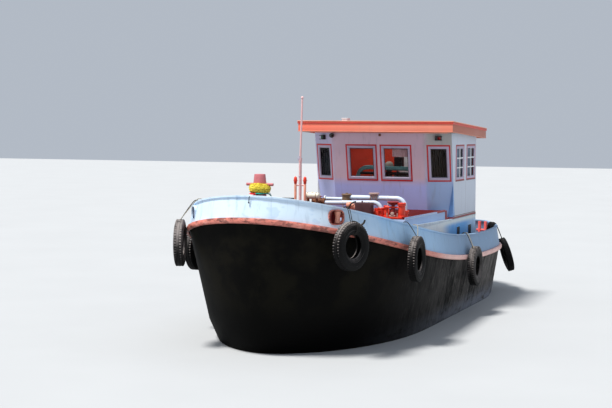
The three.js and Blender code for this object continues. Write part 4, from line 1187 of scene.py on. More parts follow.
def make_front_lamp():
    """Round lamp under the eave."""
    at = Vector((front_x(4.29) + 0.045, -1.20, 4.285))
    aim = Vector((0.93, 0.05, -0.30)).normalized()
    stem = [at - aim * 0.03, at + Vector((-0.04, 0, 0.02)), at + Vector((-0.055, 0, 0.045))]
    m = Mesh()
    m.lathe([
        (0, -0.058), (0.022, -0.056), (0.045, -0.040), (0.058, -0.014), (0.062, 0.012), (0.062, 0.026),
        (0.056, 0.028), (0.054, 0.018), (0, 0.016),
    ], aimed(at, aim), 28)
    m.tube(smooth_path(stem, 0.01), 0.009, 8)
    m.drum(at + Vector((-0.062, 0, 0.045)), at + Vector((-0.045, 0, 0.045)), 0.030, 0.003, 16)
    m.piece("front_lamp", BLACK)
    m = Mesh()
    lens = [(0, 0.034), (0.020, 0.033), (0.040, 0.029), (0.054, 0.022), (0.054, 0.020), (0, 0.020)]
    m.lathe(lens, aimed(at, aim), 28)
    m.piece("front_lamp_lens", LENS_CLEAR)


def make_front_hook():
    """Small hook amidships on the front wall."""
    hook = Vector((front_x(4.30), 0.06, 4.30))
    m = Mesh()
    m.box(hook + Vector((-0.004, -0.03, -0.03)), hook + Vector((0.012, 0.03, 0.035)), 0.004)
    m.ring(hook + Vector((0.028, 0, -0.012)), Y_AXIS, 0.020, 0.006, 18, 8)
    for y in (-0.02, 0.02):
        m.drum(hook + Vector((0.010, y, 0.022)), hook + Vector((0.016, y, 0.022)), 0.005, 0.001, 8)
    m.piece("front_hook", RUSTY)


def make_sidelight(side, hand):
    out = Vector((cos(FACET_SLOPE), side * sin(FACET_SLOPE), 0))
    along = Vector((-sin(FACET_SLOPE), side * cos(FACET_SLOPE), 0))
    at = Vector((front_x(4.23), side * CENTRE_HALF, 4.23)) + along * 0.35
    place = axes_at(at, along, out.cross(along), out)
    m = Mesh()
    m.box((-0.085, -0.055, -0.012), (0.085, 0.055, 0.012), 0.004, place)
    m.box((-0.085, -0.055, 0.008), (-0.040, 0.055, 0.075), 0.006, place)
    m.box((-0.085, 0.040, 0.008), (0.075, 0.056, 0.085), 0.006, place)
    m.box((-0.085, -0.056, 0.008), (0.075, -0.040, 0.085), 0.006, place)
    m.piece(f"sidelight_{hand}", BLACK)
    half = [(0, -0.038), (0.040, -0.038), (0.044, -0.030), (0.040, -0.020), (0.045, -0.010)]
    m = Mesh()
    lens = half + [(0.041, 0.0)] + [(r, -h) for r, h in half[::-1]]
    m.lathe(lens, place @ Matrix.Translation((0.015, 0, 0.018)) @ frame_of(Y_AXIS), 20)
    m.piece(f"sidelight_lens_{hand}", LENS_RED if side > 0 else LENS_GREEN)


def batten_in(m, start, end, out, span, proud):
    """Painted batten on a wall between two points, over a span of heights."""
    low, high = span
    profile = [
        (-0.002, low), (proud * 0.7, low), (proud, low + 0.004),
        (proud, high - 0.004), (proud * 0.7, high), (-0.002, high),
    ]
    away = Vector(out).normalized()
    m.skin([m.verts(Vector((*at, z)) + away * d for d, z in profile) for at in (start, end)], capped=True)


def make_skirting(side, hand):
    """Red line round the foot of the wheelhouse and on the coaming's aft ends, with a bead above."""
    y = side * HOUSE_HALF
    inner = (front_x(BASE_Z) - FACET_DEEP + 0.10, side * (HOUSE_HALF - 0.12))
    edge = (side * 1.7 - 0.010, side * 1.7 + 0.010)
    m = Mesh()
    batten_in(m, (CORNER_X, y), (HOUSE_AFT, y), (0, side, 0), SKIRTING, 0.010)
    batten_in(m, (CORNER_X + 0.002, y), inner, (0.9, side * -0.4, 0), SKIRTING, 0.012)
    m.block((-1.165, -1.03), edge, (2.20, 2.446), 0.003)
    m.block((-1.03, -0.30), edge, (2.420, 2.466), 0.003)
    m.block((-1.45, -1.15), edge, SKIRTING, 0.003)
    m.piece(f"skirting_{hand}", DARK_RED)
    m = Mesh()
    batten_in(m, (CORNER_X, y), (HOUSE_AFT, y), (0, side, 0), (BASE_Z + 0.060, BASE_Z + 0.072), 0.006)
    m.piece(f"skirting_bead_{hand}", RUSTY)


def make_aft_skirting():
    m = Mesh()
    for side, _ in SIDES:
        batten_in(m, (HOUSE_AFT, side * HOUSE_HALF), (HOUSE_AFT, side * 0.40), -X_AXIS, SKIRTING, 0.010)
    m.piece("skirting_aft", DARK_RED)


for hull_side in SIDES:
    make_corner_gusset(*hull_side)
    make_sidelight(*hull_side)
    make_skirting(*hull_side)
make_aft_skirting()
make_roof_edge()
make_roof_locker()
make_front_lamp()
make_front_hook()

# Casing trim

VENT_FRAME = [(0, 0.0005), (0, 0.009), (0.002, 0.011), (0.010, 0.011), (0.012, 0.0005)]


def make_vent(side, hand, tag, x, wide, low):
    """Louvred vent low on the casing's side."""
    wall = wall_at((x + wide / 2 * side, side * 1.8, low), X_AXIS * -side)
    high = 0.26
    across = (0.012, wide - 0.012)
    m = Mesh()
    m.moulding(wall, wide, high, VENT_FRAME)
    m.piece(f"vent_frame_{hand}_{tag}", CASING)
    m = Mesh()
    m.bar(wall, across, (0.012, high - 0.012), (0.0005, 0.004), 0.001)
    for i in range(8):
        at = 0.018 + i * 0.029
        m.bar(wall, across, (at, at + 0.010), (0.004, 0.018), 0.002)
    m.piece(f"vent_louvres_{hand}_{tag}", BLACK)


def make_beads(side, hand):
    """Half-round beads along the edges of the coaming and of the casing's ledge."""
    m = Mesh()
    m.tube([(2.36, side * 1.700, 2.436), (-1.035, side * 1.700, 2.436)], 0.008, 8)
    m.tube([(2.42, side * 1.801, 2.206), (-3.75, side * 1.801, 2.206)], 0.010, 8)
    m.piece(f"casing_bead_{hand}", LEDGE)


def lip_in(m, y, thick, fore, aft, base, rise):
    """Upright plate along X whose top climbs towards the bow."""
    half = thick / 2
    rings = []
    for i in range(13):
        x = fore + (aft - fore) * i / 12
        top = base + 0.012 + rise * (x - aft)
        rings.append(m.verts((x, y + dy, z) for dy, z in (
            (-half, base - 0.02), (half, base - 0.02), (half, top - 0.003),
            (half - 0.003, top), (-half + 0.003, top), (-half, top - 0.003),
        )))
    m.skin(rings, capped=True)


def make_lips(side, hand):
    """Lips that raise the coaming and the ledge towards the bow."""
    m = Mesh()
    lip_in(m, side * 1.6965, 0.014, 2.355, -1.15, COAMING_TOP, 0.010)
    for x in (2.1, 1.3, 0.5, -0.3):
        foot, top = TOP_Z + 0.0002, COAMING_TOP + 0.010 * (x + 1.15)
        m.prism([(x, side * 1.690, foot), (x, side * 1.690, top), (x, side * 1.640, foot)], (0.008, 0, 0))
    m.piece(f"coaming_lip_{hand}", CASING)
    m = Mesh()
    lip_in(m, side * 1.7955, 0.016, 2.415, -1.40, CASING_TOP, 0.020)
    m.piece(f"ledge_lip_{hand}", LEDGE)


for hull_side in SIDES:
    make_vent(*hull_side, "fore", -1.92, 0.30, 1.74)
    make_vent(*hull_side, "aft", -3.08, 0.34, 1.72)
    make_beads(*hull_side)
    make_lips(*hull_side)

# Pumps, pipes and winch on the coaming

CHEST_X = 2.02
FORE_PIPE = (1.99, 1.025)
AFT_PIPE = (1.74, 1.51)
AFT_PIPE_Z = 2.872


def make_valve_chest():
    """A foot, two flanged bodies and the pipe between them."""
    x = CHEST_X
    m = Mesh()
    m.block((x - 0.125, x + 0.125), (1.112, 1.558), (TOP_Z, TOP_Z + 0.030))
    for y in (1.14, 1.53):
        m.bolts((x, y, TOP_Z + 0.030), Z_AXIS, 0.095, 2)
    for y, radius, top in ((1.155, 0.044, 2.705), (1.520, 0.080, 2.775)):
        m.drum((x, y, TOP_Z + 0.02), (x, y, top), radius, steps=28)
        for z, thick in ((TOP_Z + 0.045, 0.022), (top, 0.026), (top - 0.034, 0.022)):
            m.flange((x, y, z), Z_AXIS, radius + 0.018, thick)
    m.tube([(x + 0.055, 1.155, 2.690), (x + 0.055, 1.520, 2.690)], 0.020, 12)
    m.tube([(x + 0.055, 1.225, 2.47), (x + 0.055, 1.225, 2.690)], 0.016)
    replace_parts(m.piece("valve_chest", RED), "pump_manifold")


def make_valve():
    """Barrel between the chest's bodies, with a wheel on its bonnet, and the gauges ahead of it."""
    x = CHEST_X
    m = Mesh()
    m.drum((x, 1.18, 2.575), (x, 1.46, 2.575), 0.046)
    for y in (1.245, 1.395):
        m.flange((x, y, 2.575), Y_AXIS, 0.070, 0.018)
    m.lathe([
        (0, 2.58), (0.062, 2.59), (0.066, 2.62), (0.046, 2.66), (0.036, 2.73), (0.070, 2.745), (0.108, 2.755),
        (0.112, 2.768), (0.104, 2.786), (0.040, 2.80), (0, 2.80),
    ], upright(x, 1.315), 28)
    m.handwheel((x, 1.315, 2.802), Z_AXIS, 0.118, 0.017)
    m.piece("valve_bonnet", DARK_RED)
    m = Mesh()
    for y in (1.20, 1.44):
        m.block((x + 0.075, x + 0.090), (y - 0.012, y + 0.012), (TOP_Z + 0.03, 2.56), 0.003)
    m.drum((x + 0.080, 1.33, 2.545), (x + 0.115, 1.33, 2.550), 0.042, 0.005, 20)
    m.tube(smooth_path([(x + 0.09, 1.25, 2.50), (x + 0.10, 1.32, 2.485), (x + 0.10, 1.40, 2.505)]), 0.016)
    m.piece("valve_chest_gauges", COUPLING)


def bend_path(start, corner, end, radius):
    """Run that turns once, with a round bend at its corner."""
    start, corner, end = Vector(start), Vector(corner), Vector(end)
    before, after = (start - corner).normalized(), (end - corner).normalized()
    centre = corner + (before + after) * radius
    angles = [pi / 2 * i / 16 for i in range(17)]
    return [start, *(centre - after * radius * cos(a) - before * radius * sin(a) for a in angles), end]


def make_pipes():
    """White discharge pipes, each run along the coaming and down to its flange."""
    m = Mesh()
    m.tube(bend_path((1.74, 0.13, AFT_PIPE_Z), (*AFT_PIPE, AFT_PIPE_Z), (*AFT_PIPE, 2.59), 0.20), 0.054, 28)
    m.tube([(1.74, -0.43, 2.826), (1.74, 0.12, 2.826)], 0.042, 24)
    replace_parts(m.piece("pipe_aft_run", PIPE_WHITE_SHADED, angle=60), "pipe_aft")
    m = Mesh()
    m.tube(bend_path((1.99, -0.35, 2.745), (*FORE_PIPE, 2.785), (*FORE_PIPE, 2.55), 0.19), 0.049, 28)
    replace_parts(m.piece("pipe_fore_run", PIPE_WHITE_SHADED, angle=60), "pipe_fore")


def make_check_valve():
    """Check valve on the aft pipe, and the coupling outboard of it."""
    m = Mesh()
    m.lathe([
        (0, 2.785), (0.112, 2.785), (0.121, 2.792), (0.121, 2.806), (0.1085, 2.812), (0.1085, 2.912),
        (0.122, 2.918), (0.124, 2.936), (0.110, 2.948), (0.050, 2.956), (0, 2.957),
    ], upright(1.74, 0.105), 32)
    m.bolts((1.74, 0.105, 2.930), Z_AXIS, 0.098, 8, 0.009, 0.022)
    m.drum((1.74, 0.105, 2.95), (1.74, 0.105, 2.972), 0.026, steps=6)
    m.piece("check_valve", KHAKI)
    m = Mesh()
    for y in (0.70, 0.84):
        m.flange((1.74, y, AFT_PIPE_Z), Y_AXIS, 0.078, 0.020, 8)
    m.lathe([
        (0, 2.86), (0.062, 2.86), (0.064, 2.905), (0.074, 2.930), (0.104, 2.950), (0.122, 2.958),
        (0.124, 2.980), (0.116, 2.988), (0.086, 2.986), (0.078, 2.972), (0, 2.970),
    ], upright(1.74, 0.770), 32)
    m.piece("pipe_coupling", COUPLING)


def make_suction_valve():
    m = Mesh()
    m.flange((1.99, -0.352, 2.765), Y_AXIS, 0.086, 0.024, 8)
    m.flange((1.99, -0.380, 2.775), Y_AXIS, 0.086, 0.020, 8)
    m.lathe([
        (0, 0), (0.052, 0), (0.062, 0.03), (0.078, 0.06), (0.084, 0.12), (0.074, 0.19), (0.055, 0.22),
        (0.055, 0.24), (0.070, 0.245), (0.070, 0.262), (0, 0.262),
    ], aimed((1.99, -0.385, 2.785), -Y_AXIS), 28)
    m.drum((1.99, -0.47, 2.44), (1.99, -0.47, 2.74), 0.038, steps=18)
    m.flange((1.99, -0.47, 2.452), Z_AXIS, 0.075, 0.020, 6, both=False)
    m.drum((1.99, -0.47, 2.83), (1.99, -0.47, 2.885), 0.022, 0.003, 12)
    m.piece("suction_valve", RUSTY)
    m = Mesh()
    m.handwheel((1.99, -0.47, 2.888), Z_AXIS, 0.060, 0.008)
    m.piece("suction_handwheel", DARK_RED)


def make_pipe_feet():
    m = Mesh()
    for (x, y), radius, top in ((FORE_PIPE, 0.062, 2.665), (AFT_PIPE, 0.066, 2.60)):
        m.drum((x, y, TOP_Z + 0.01), (x, y, top), radius, steps=28)
        for z, share in ((TOP_Z + 0.014, 1.5), (top - 0.012, 1.42), (top - 0.055, 1.42)):
            m.flange((x, y, z), Z_AXIS, radius * share, 0.022)
    m.box((1.905, 0.86, TOP_Z), (2.075, 0.985, TOP_Z + 0.150), 0.010)
    m.drum((1.99, 0.905, TOP_Z + 0.14), (1.99, 0.905, TOP_Z + 0.205), 0.044, steps=20)
    m.bolts((1.99, 0.905, TOP_Z + 0.205), Z_AXIS, 0.030, 5, 0.008, 0.010)
    m.piece("pipe_feet", RED)
    m = Mesh()
    m.flange((1.74, -0.425, 2.8253), Y_AXIS, 0.075, 0.022, 6)
    m.drum((1.74, -0.30, 2.445), (1.74, -0.30, 2.80), 0.028, steps=16)
    m.flange((1.74, -0.30, 2.452), Z_AXIS, 0.062, 0.018, 4, both=False)
    for x, y, z, radius in (
        (1.99, 0.10, 2.758, 0.050), (1.99, 0.42, 2.768, 0.050), (1.74, 1.10, AFT_PIPE_Z, 0.055),
    ):
        m.ring((x, y, z), Y_AXIS, radius + 0.003, 0.006, 28, 6)
        m.block((x - 0.012, x + 0.012), (y - 0.012, y + 0.012), (TOP_Z, z - radius + 0.004), 0.003)
    m.piece("pipe_stands", WHITE)


def make_winch_housing():
    """Ribbed brown housing."""
    lo, hi = Vector((2.075, 0.505, TOP_Z)), Vector((2.325, 0.868, 2.785))
    m = Mesh()
    m.box(lo + Vector((0.008, 0.008, 0.03)), hi - Vector((0.008, 0.008, 0.012)), 0.014)
    m.box((2.062, 0.490, TOP_Z), (2.338, 0.878, TOP_Z + 0.035))
    for i in range(13):
        y = lo.y + 0.018 + i * (hi.y - lo.y - 0.036) / 12
        m.box((lo.x - 0.004, y - 0.006, TOP_Z + 0.05), (hi.x + 0.006, y + 0.006, hi.z), 0.003)
    for i in range(8):
        x = lo.x + 0.016 + i * (hi.x - lo.x - 0.032) / 7
        m.box((x - 0.006, lo.y - 0.004, TOP_Z + 0.05), (x + 0.006, hi.y + 0.006, hi.z), 0.003)
    m.bolts((2.20, 0.715, hi.z - 0.002), Z_AXIS, 0.09, 6, 0.008, 0.010)
    m.drum((2.14, 0.62, hi.z - 0.01), (2.14, 0.62, hi.z + 0.035), 0.020, 0.003, 12)
    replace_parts(m.piece("winch_housing", BROWN), "winch")


def make_winch_drum():
    """Peach drum end with a ball, and its hose."""
    m = Mesh()
    m.lathe([
        (0, 0), (0.082, 0), (0.086, 0.006), (0.086, 0.020), (0.074, 0.030), (0.070, 0.060), (0.076, 0.088),
        (0.084, 0.094), (0.084, 0.104), (0.040, 0.110), (0.034, 0.130), (0, 0.132),
    ], aimed((2.20, 0.505, 2.680), -Y_AXIS), 32)
    ball = [(0.080 * cos(a * pi / 14), 0.075 * sin(a * pi / 14)) for a in range(-6, 7)]
    m.lathe([(0, -0.075), *ball, (0, 0.075)], aimed((2.20, 0.330, 2.722), -Y_AXIS), 32)
    m.piece("winch_drum_end", PEACH)
    m = Mesh()
    m.tube(smooth_path([
        (2.20, 0.485, 2.800), (2.26, 0.450, 2.788), (2.30, 0.405, 2.752), (2.305, 0.378, 2.700),
        (2.30, 0.345, 2.652), (2.29, 0.290, 2.632), (2.27, 0.235, 2.640), (2.21, 0.205, 2.668),
    ], 0.01), 0.018, 12)
    m.piece("winch_hose", BLACK)


TANK_Z = 2.910


def make_header_tank():
    """Pale tank on the pump's starboard side."""
    m = Mesh()
    m.lathe([
        (0, 0), (0.030, 0.003), (0.062, 0.020), (0.074, 0.048), (0.074, 0.170), (0.077, 0.172),
        (0.077, 0.184), (0.074, 0.186), (0.074, 0.320), (0.062, 0.348), (0.030, 0.367), (0, 0.370),
    ], aimed((2.20, -0.76, TANK_Z), Y_AXIS), 32)
    m.drum((2.20, -0.570, TANK_Z + 0.064), (2.20, -0.570, TANK_Z + 0.092), 0.026, steps=14)
    m.piece("header_tank", CREAM)
    m = Mesh()
    for y in (-0.68, -0.47):
        m.ring((2.20, y, TANK_Z), Y_AXIS, 0.076, 0.005, 32, 6)
        m.box((2.13, y - 0.015, TOP_Z), (2.27, y + 0.015, TANK_Z - 0.048), 0.004)
    m.piece("header_tank_stand", RUSTY)


make_valve_chest()
make_valve()
make_pipes()
make_check_valve()
make_suction_valve()
make_pipe_feet()
make_winch_housing()
make_winch_drum()
make_header_tank()

# Bollard garland, ribbons and line

BOLLARD_X = 6.545
BOLLARD_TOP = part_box("bow_bollard")[1].z
RANDOM = random.Random(11)
# Each strand's height, wave and distance from the bollard
STRANDS = (
    (3.350, 0.006, 0.050), (3.318, 0.008, 0.070), (3.284, 0.006, 0.078), (3.250, 0.008, 0.070),
    (3.222, 0.006, 0.056),
)
# A petal's shape from its root: distance, half width and lift, as shares of the head's size
PETAL = ((0.10, 0.10, 0.05), (0.55, 0.34, 0.10), (0.95, 0.24, 0.34))
BUTTON = ((0, -0.2), (0.34, -0.1), (0.40, 0.10), (0.24, 0.26), (0, 0.30))
RIBBON_SLANT = radians(58)
RIBBON_TAIL = 0.05


def bollard_radius(z):
    """The bollard's radius at a height, as its CAD cone has it."""
    return 0.132 - (0.132 - 0.108) * min(max((z - 3.0) / (BOLLARD_TOP - 3.0), 0), 1)


def flower_in(m, place, size, petals=7):
    """Small marigold head: two rings of cupped petals about a button."""
    for layer, (reach, lift, count) in enumerate(((1.0, 0.0, petals), (0.66, 0.32, petals - 1))):
        for angle in around(count, 0.5 * layer):
            along, across = polar(reach * size, angle), polar(reach * size, angle + pi / 2)
            rows = []
            for s, w, up in PETAL:
                base = along * s + Z_AXIS * (up + lift) * size
                rows.append(m.verts([place @ (base + across * w), place @ (base - across * w)]))
            m.sheet(rows)
            m.face((*rows[-1], *m.verts([place @ (along * 1.05 + Z_AXIS * (0.40 + lift) * size)])))
    button = [(r * size, (h + 0.30) * size) for r, h in BUTTON]
    m.lathe(button, place, 8)


def garland_spots(row, count, inset=0.0):
    """Places and outward axes along one strand round the bollard."""
    z, wave, reach = STRANDS[row]
    start = row * 0.11
    spots = []
    for turn in around(count):
        angle = start + turn
        out = polar(1, angle)
        height = z + wave * cos(angle * 2 + start) + RANDOM.uniform(-0.006, 0.006)
        spots.append((Vector((BOLLARD_X, 0, height)) + out * (bollard_radius(height) + reach - inset), out))
    return spots


def make_garland():
    """Five strands of small yellow flower heads wound round the bollard below its bar."""
    m = Mesh()
    for row in range(len(STRANDS)):
        for spot, out in garland_spots(row, 34):
            tilt = aimed(spot, out + Z_AXIS * RANDOM.uniform(-0.2, 0.5))
            size = RANDOM.uniform(0.026, 0.032)
            flower_in(m, tilt @ Matrix.Rotation(RANDOM.uniform(0, 6), 4, "Z"), size)
    m.piece("garland_heads", FLOWER_YELLOW)
    m = Mesh()
    for row in range(len(STRANDS)):
        m.tube([spot for spot, _ in garland_spots(row, 40, 0.018)], 0.024, 10, closed=True)
    m.piece("garland_cores", FLOWER_YELLOW)


def ribbon_rows(z, start, end):
    """Places and outward axes along a ribbon round the bollard, from one angle to another, and its tail."""
    rows = []
    for i in range(41):
        angle = start + (end - start) * i / 40
        height = z + 0.006 * sin(angle * 3) + 0.004 * sin(angle * 7 + 1)
        out = polar(1, angle)
        reach = bollard_radius(height) + 0.006 + 0.003 * sin(angle * 5)
        rows.append((Vector((BOLLARD_X, 0, height)) + out * reach, out))
    last, out = rows[-1]
    along = Vector((-out.y, out.x, 0))
    for i in range(1, 11):
        t = i / 10
        fall = Z_AXIS * RIBBON_TAIL * (t * 0.4 + t * t * 0.45)
        spot = last + along * RIBBON_TAIL * 0.35 * t + out * 0.030 * t - fall
        rows.append((spot, (out + along * 0.4 * sin(t * 4)).normalized()))
    return rows


def make_ribbon(name, z, wide, material, start, end):
    rows = ribbon_rows(z, radians(start), radians(end))
    m = Mesh()
    grid = []
    for middle, out in rows:
        line = []
        for j in range(7):
            s = j / 6 - 0.5
            reach = 0.002 + 0.0022 * cos(j * pi) + wide * sin(RIBBON_SLANT) * (0.5 - s)
            line.append(middle + Z_AXIS * s * wide * cos(RIBBON_SLANT) + out * reach)
        grid.append(m.verts(line))
    m.sheet(grid)
    made = m.piece(name, material, angle=80)
    thicken(made, 0.0012, 1.0)


def make_bow_line():
    """Thin cord tied round the bollard's foot, over the bow bulwark's cap and down its face."""
    path = smooth_path([
        (6.68, 0.06, 3.10), (6.78, 0.064, 3.150), (6.90, 0.062, 3.165), (7.02, 0.060, 3.158),
        (7.10, 0.057, 3.150), (7.150, 0.054, 3.148), (7.176, 0.051, 3.128), (7.180, 0.049, 3.085),
        (7.184, 0.047, 3.02),
    ], 0.015)
    m = Mesh()
    m.tube(path, 0.008, 10, lobes=3, pitch=0.04)
    line = m.piece("bow_line", ROPE_DARK, angle=80)
    m = Mesh()
    for i, lift in enumerate((-0.004, 0.005, 0.013)):
        m.ring(path[-1] + Z_AXIS * lift, (0.2 * (i - 1), 0.3, 1), 0.011, 0.006, 14, 6)
    knot = m.piece("bow_line_knot", ROPE_DARK, angle=80)


make_garland()
make_ribbon("ribbon_red", 3.194, 0.096, RIBBON_RED, -172, -6)
make_ribbon("ribbon_green", 3.194, 0.096, RIBBON_GREEN, -3, 92)
make_ribbon("ribbon_blue", 3.198, 0.100, RIBBON_BLUE, 96, 180)
make_bow_line()

# Mast and posts

MAST_X = 4.4
POST_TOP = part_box("mast_posts")[1].z


def make_post_gear(side, hand):
    y = side * 0.108
    m = Mesh()
    m.lathe([
        (0, -0.140), (0.0270, -0.140), (0.0320, -0.132), (0.0330, -0.100), (0.037, -0.088), (0.038, -0.064),
        (0.0350, -0.046), (0.0325, -0.012), (0.022, 0.002), (0.010, 0.010), (0.004, 0.018), (0, 0.020),
    ], Matrix.Translation((MAST_X, y, POST_TOP)), 20)
    for angle in around(4):
        spike = polar(1, angle + 0.4)
        base = Vector((MAST_X, y, POST_TOP - 0.070)) + spike * 0.036
        m.tube([base, base + spike * 0.007, base + spike * 0.010 + Z_AXIS * 0.010], 0.004, 6)
    m.piece(f"post_lamp_{hand}", RED)
    m = Mesh()
    low, high = 2.86, POST_TOP - 0.142
    sleeve = [(0, low), (0.026, low), (0.0265, low + 0.04), (0.0265, high - 0.004), (0.024, high), (0, high)]
    m.lathe(sleeve, upright(MAST_X, y), 20)
    m.piece(f"post_sleeve_{hand}", PEACH)


def make_mast_gear():
    lean = Matrix.Translation((MAST_X, 0, 3.25)) @ Matrix.Rotation(radians(1.6), 4, "X")
    m = Mesh()
    for z, r, high in ((0.535, 0.041, 0.050), (0.18, 0.036, 0.020), (0.600, 0.032, 0.014)):
        half = [(0, 0), (r - 0.004, 0), (r, 0.004)]
        band = [(a, z + h) for a, h in half] + [(a, z + high - h) for a, h in half[::-1]]
        m.lathe(band, lean, 20)
    m.piece("mast_bands", TRIM, body="mast")
    m = Mesh()
    m.box((4.30, -0.44, 2.93), (4.40, -0.13, 2.975))
    m.piece("mast_rack", BLACK)


for hull_side in SIDES:
    make_post_gear(*hull_side)
make_mast_gear()

# Fairlead rollers


def fairlead_place(side, hand):
    """Matrix at the middle of a fairlead: X forward along the bulwark, Y up, Z outward."""
    lo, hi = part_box(f"fairlead_{hand}")
    out = edge_normal((lo.x + hi.x) / 2, side)
    return axes_at((lo + hi) / 2, Vector((out.y, -out.x, 0)) * side, Z_AXIS, out)


def make_roller(name, start, end, radius, material):
    belly = [(0.0, 0.0), (0.005, 0.008), (0.003, 0.035), (-0.008, 0.080), (-0.009, 0.115), (-0.008, 0.150),
             (0.003, 0.195), (0.005, 0.222), (0.0, 0.230)]
    m = Mesh()
    m.lathe([(0, 0), *((radius + r, h) for r, h in belly), (0, 0.230)], aimed(start, end - start), 28)
    m.piece(name, material)


def make_fairlead(side, hand):
    place = fairlead_place(side, hand)
    bracket = Mesh()
    for low, high in ((-0.185, -0.155), (0.155, 0.180)):
        bracket.box((-0.200, low, -0.180), (0.200, high, -0.040), 0.006, place)
    bracket.box((-0.200, -0.185, -0.190), (0.200, 0.180, -0.178), 0.004, place)
    for tag, along, depth, radius, low, high, material in (
        # The fore roller's dark red stands in for the shaded red inside seen through the hole: painted shade.
        ("fore", 0.100, -0.120, 0.070, -0.19, 0.20, DARK_RED),
        ("aft", -0.062, -0.035, 0.058, -0.122, 0.122, ROLLER_PINK),
    ):
        ends = [place @ Vector((along, up, depth)) for up in (-0.115, 0.115, low, high)]
        finish = material if side > 0 else SLATE
        make_roller(f"fairlead_roller_{hand}_{tag}", ends[0], ends[1], radius, finish)
        bracket.drum(ends[2], ends[3], 0.014, 0.003, 12)
    bracket.piece(f"fairlead_bracket_{hand}", DARK_RED if side > 0 else SLATE)


for hull_side in SIDES:
    make_fairlead(*hull_side)

# Bulwark ribs, rope eyes, bow strap, quarter tyre


def make_ribs(side, hand):
    m = Mesh()
    for i in range(13):
        x = 5.15 - 0.9 * i
        head = bulwark_high(x) * 0.86
        outline = ((-0.036, 0.006), (-0.170, 0.006), (-0.185, 0.05), (-0.115, head), (-0.1068, head))
        m.prism([deck_edge(x, side, out, up) for out, up in outline], (0.010, 0, 0))
    m.piece(f"bulwark_ribs_{hand}", BULWARK)


def make_rope_eyes(side, hand):
    m = Mesh()
    for name in TYRES:
        if TYRES[name][0] != side:
            continue
        for x, _ in rope_leads(name):
            eye = deck_edge(x, side, OVER_CAP[0][0], bulwark_high(x) + OVER_CAP[0][1])
            m.ring(eye - Z_AXIS * 0.020, X_AXIS, 0.024, 0.006, 20, 8)
            out = edge_normal(x, side)
            m.drum(eye + out * 0.020 - Z_AXIS * 0.03, eye + out * 0.055 - Z_AXIS * 0.03, 0.020, 0.003, 14)
    m.piece(f"rope_eyes_{hand}", RUSTY)


def make_bow_strap():
    """Bent rubber strap end that stands up behind the bow tyre, and the lashing round the tyre's top."""
    place = tyre_place("tyre_port_bow")
    start = place @ Vector((-0.22, 0.0, 0.40))
    bends = (
        (0, 0, 0), (-0.020, 0.040, 0.004), (-0.040, 0.075, 0.025), (-0.055, 0.098, 0.060),
        (-0.065, 0.104, 0.100),
    )
    m = Mesh()
    m.tube(smooth_path([start + Vector(bend) for bend in bends], 0.012), 0.019)
    m.piece("bow_tyre_strap", BLACK)
    m = Mesh()
    for tilt in (-0.30, -0.22, -0.14):
        loop = []
        for angle in around(28):
            radial = 0.355 + 0.135 * cos(angle)
            loop.append(place @ Vector((radial * sin(tilt), 0.106 * sin(angle), radial * cos(tilt))))
        m.tube(loop, 0.009, 8, closed=True)
    m.piece("bow_tyre_lashing", ROPE_DARK, angle=80)


def make_quarter_tyre():
    """Small tyre that stands inside the port quarter's bulwark."""
    at = (-5.08, 1.92, sheer(-5.08) + 0.290)
    turned = Matrix.Rotation(radians(27), 4, "Z") @ Matrix.Rotation(radians(-5), 4, "X")
    place = Matrix.Translation(at) @ turned
    shape = [(0.212 + 0.062 * max(min(sin(a) * 1.25, 1), -1), 0.082 * cos(a)) for a in around(20)]
    grooved = [(r - (0.006 if r > 0.262 else 0.0), across) for r, across in shape]
    m = Mesh()
    rings = []
    for i, angle in enumerate(around(96)):
        rings.append(wheel_ring(m, place, shape if i % 4 else grooved, angle))
    m.skin(rings, closed=True)
    m.piece("quarter_spare_tyre", BLACK_RUBBER, angle=32)


for hull_side in SIDES:
    make_ribs(*hull_side)
    make_rope_eyes(*hull_side)
make_bow_strap()
make_quarter_tyre()

# Hatch lids, door and steps

DOOR_PANEL = [(0, 0.0), (0, 0.006), (0.010, 0.010), (0.024, 0.010), (0.034, 0.003), (0.034, 0.0)]
DOOR_WINDOW = [(0, 0.0), (0, 0.008), (0.006, 0.012), (0.034, 0.012), (0.040, 0.006), (0.040, 0.0)]
STEP_AFT = -3.76
STEP_DEEP = 0.26
RAIL_X, RAIL_Y = -4.26, -0.40


def make_lid_gear(side, hand):
    lo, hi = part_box(f"hatch_lid_{hand}")
    inner, outer = (lo.y, hi.y) if side > 0 else (hi.y, lo.y)
    top = hi.z
    m = Mesh()
    for x in (lo.x + 0.30, (lo.x + hi.x) / 2, hi.x - 0.30):
        m.block((x - 0.030, x + 0.030), (outer, outer - side * 0.26), (top - 0.001, top + 0.007), 0.003)
        for reach in (0.06, 0.14, 0.22):
            m.bolts((x, outer - side * reach, top + 0.006), Z_AXIS, 0.0, 1, 0.010, 0.007)
    m.piece(f"lid_straps_{hand}", BROWN, body=f"lid_{hand}")
    m = Mesh()
    y = inner + side * 0.13
    for x in (lo.x + 0.34, hi.x - 0.34):
        for end in (-0.07, 0.07):
            m.drum((x + end, y, top - 0.001), (x + end, y, top + 0.012), 0.017, 0.003, 14)
        grip = ((-0.07, 0.010), (-0.066, 0.032), (0, 0.040), (0.066, 0.032), (0.07, 0.010))
        m.tube(smooth_path([(x + along, y, top + up) for along, up in grip], 0.01), 0.007)
    m.piece(f"lid_handles_{hand}", STEEL, body=f"lid_{hand}")
    m = Mesh()
    for i in range(5):
        x = lo.x + 0.24 + i * (hi.x - lo.x - 0.48) / 4
        span = (inner + side * 0.05, outer - side * 0.06)
        m.block((x - 0.012, x + 0.012), span, (top - 0.0005, top + 0.0035), 0.0015)
    m.piece(f"lid_ribs_{hand}", DECK_RED, body=f"lid_{hand}")


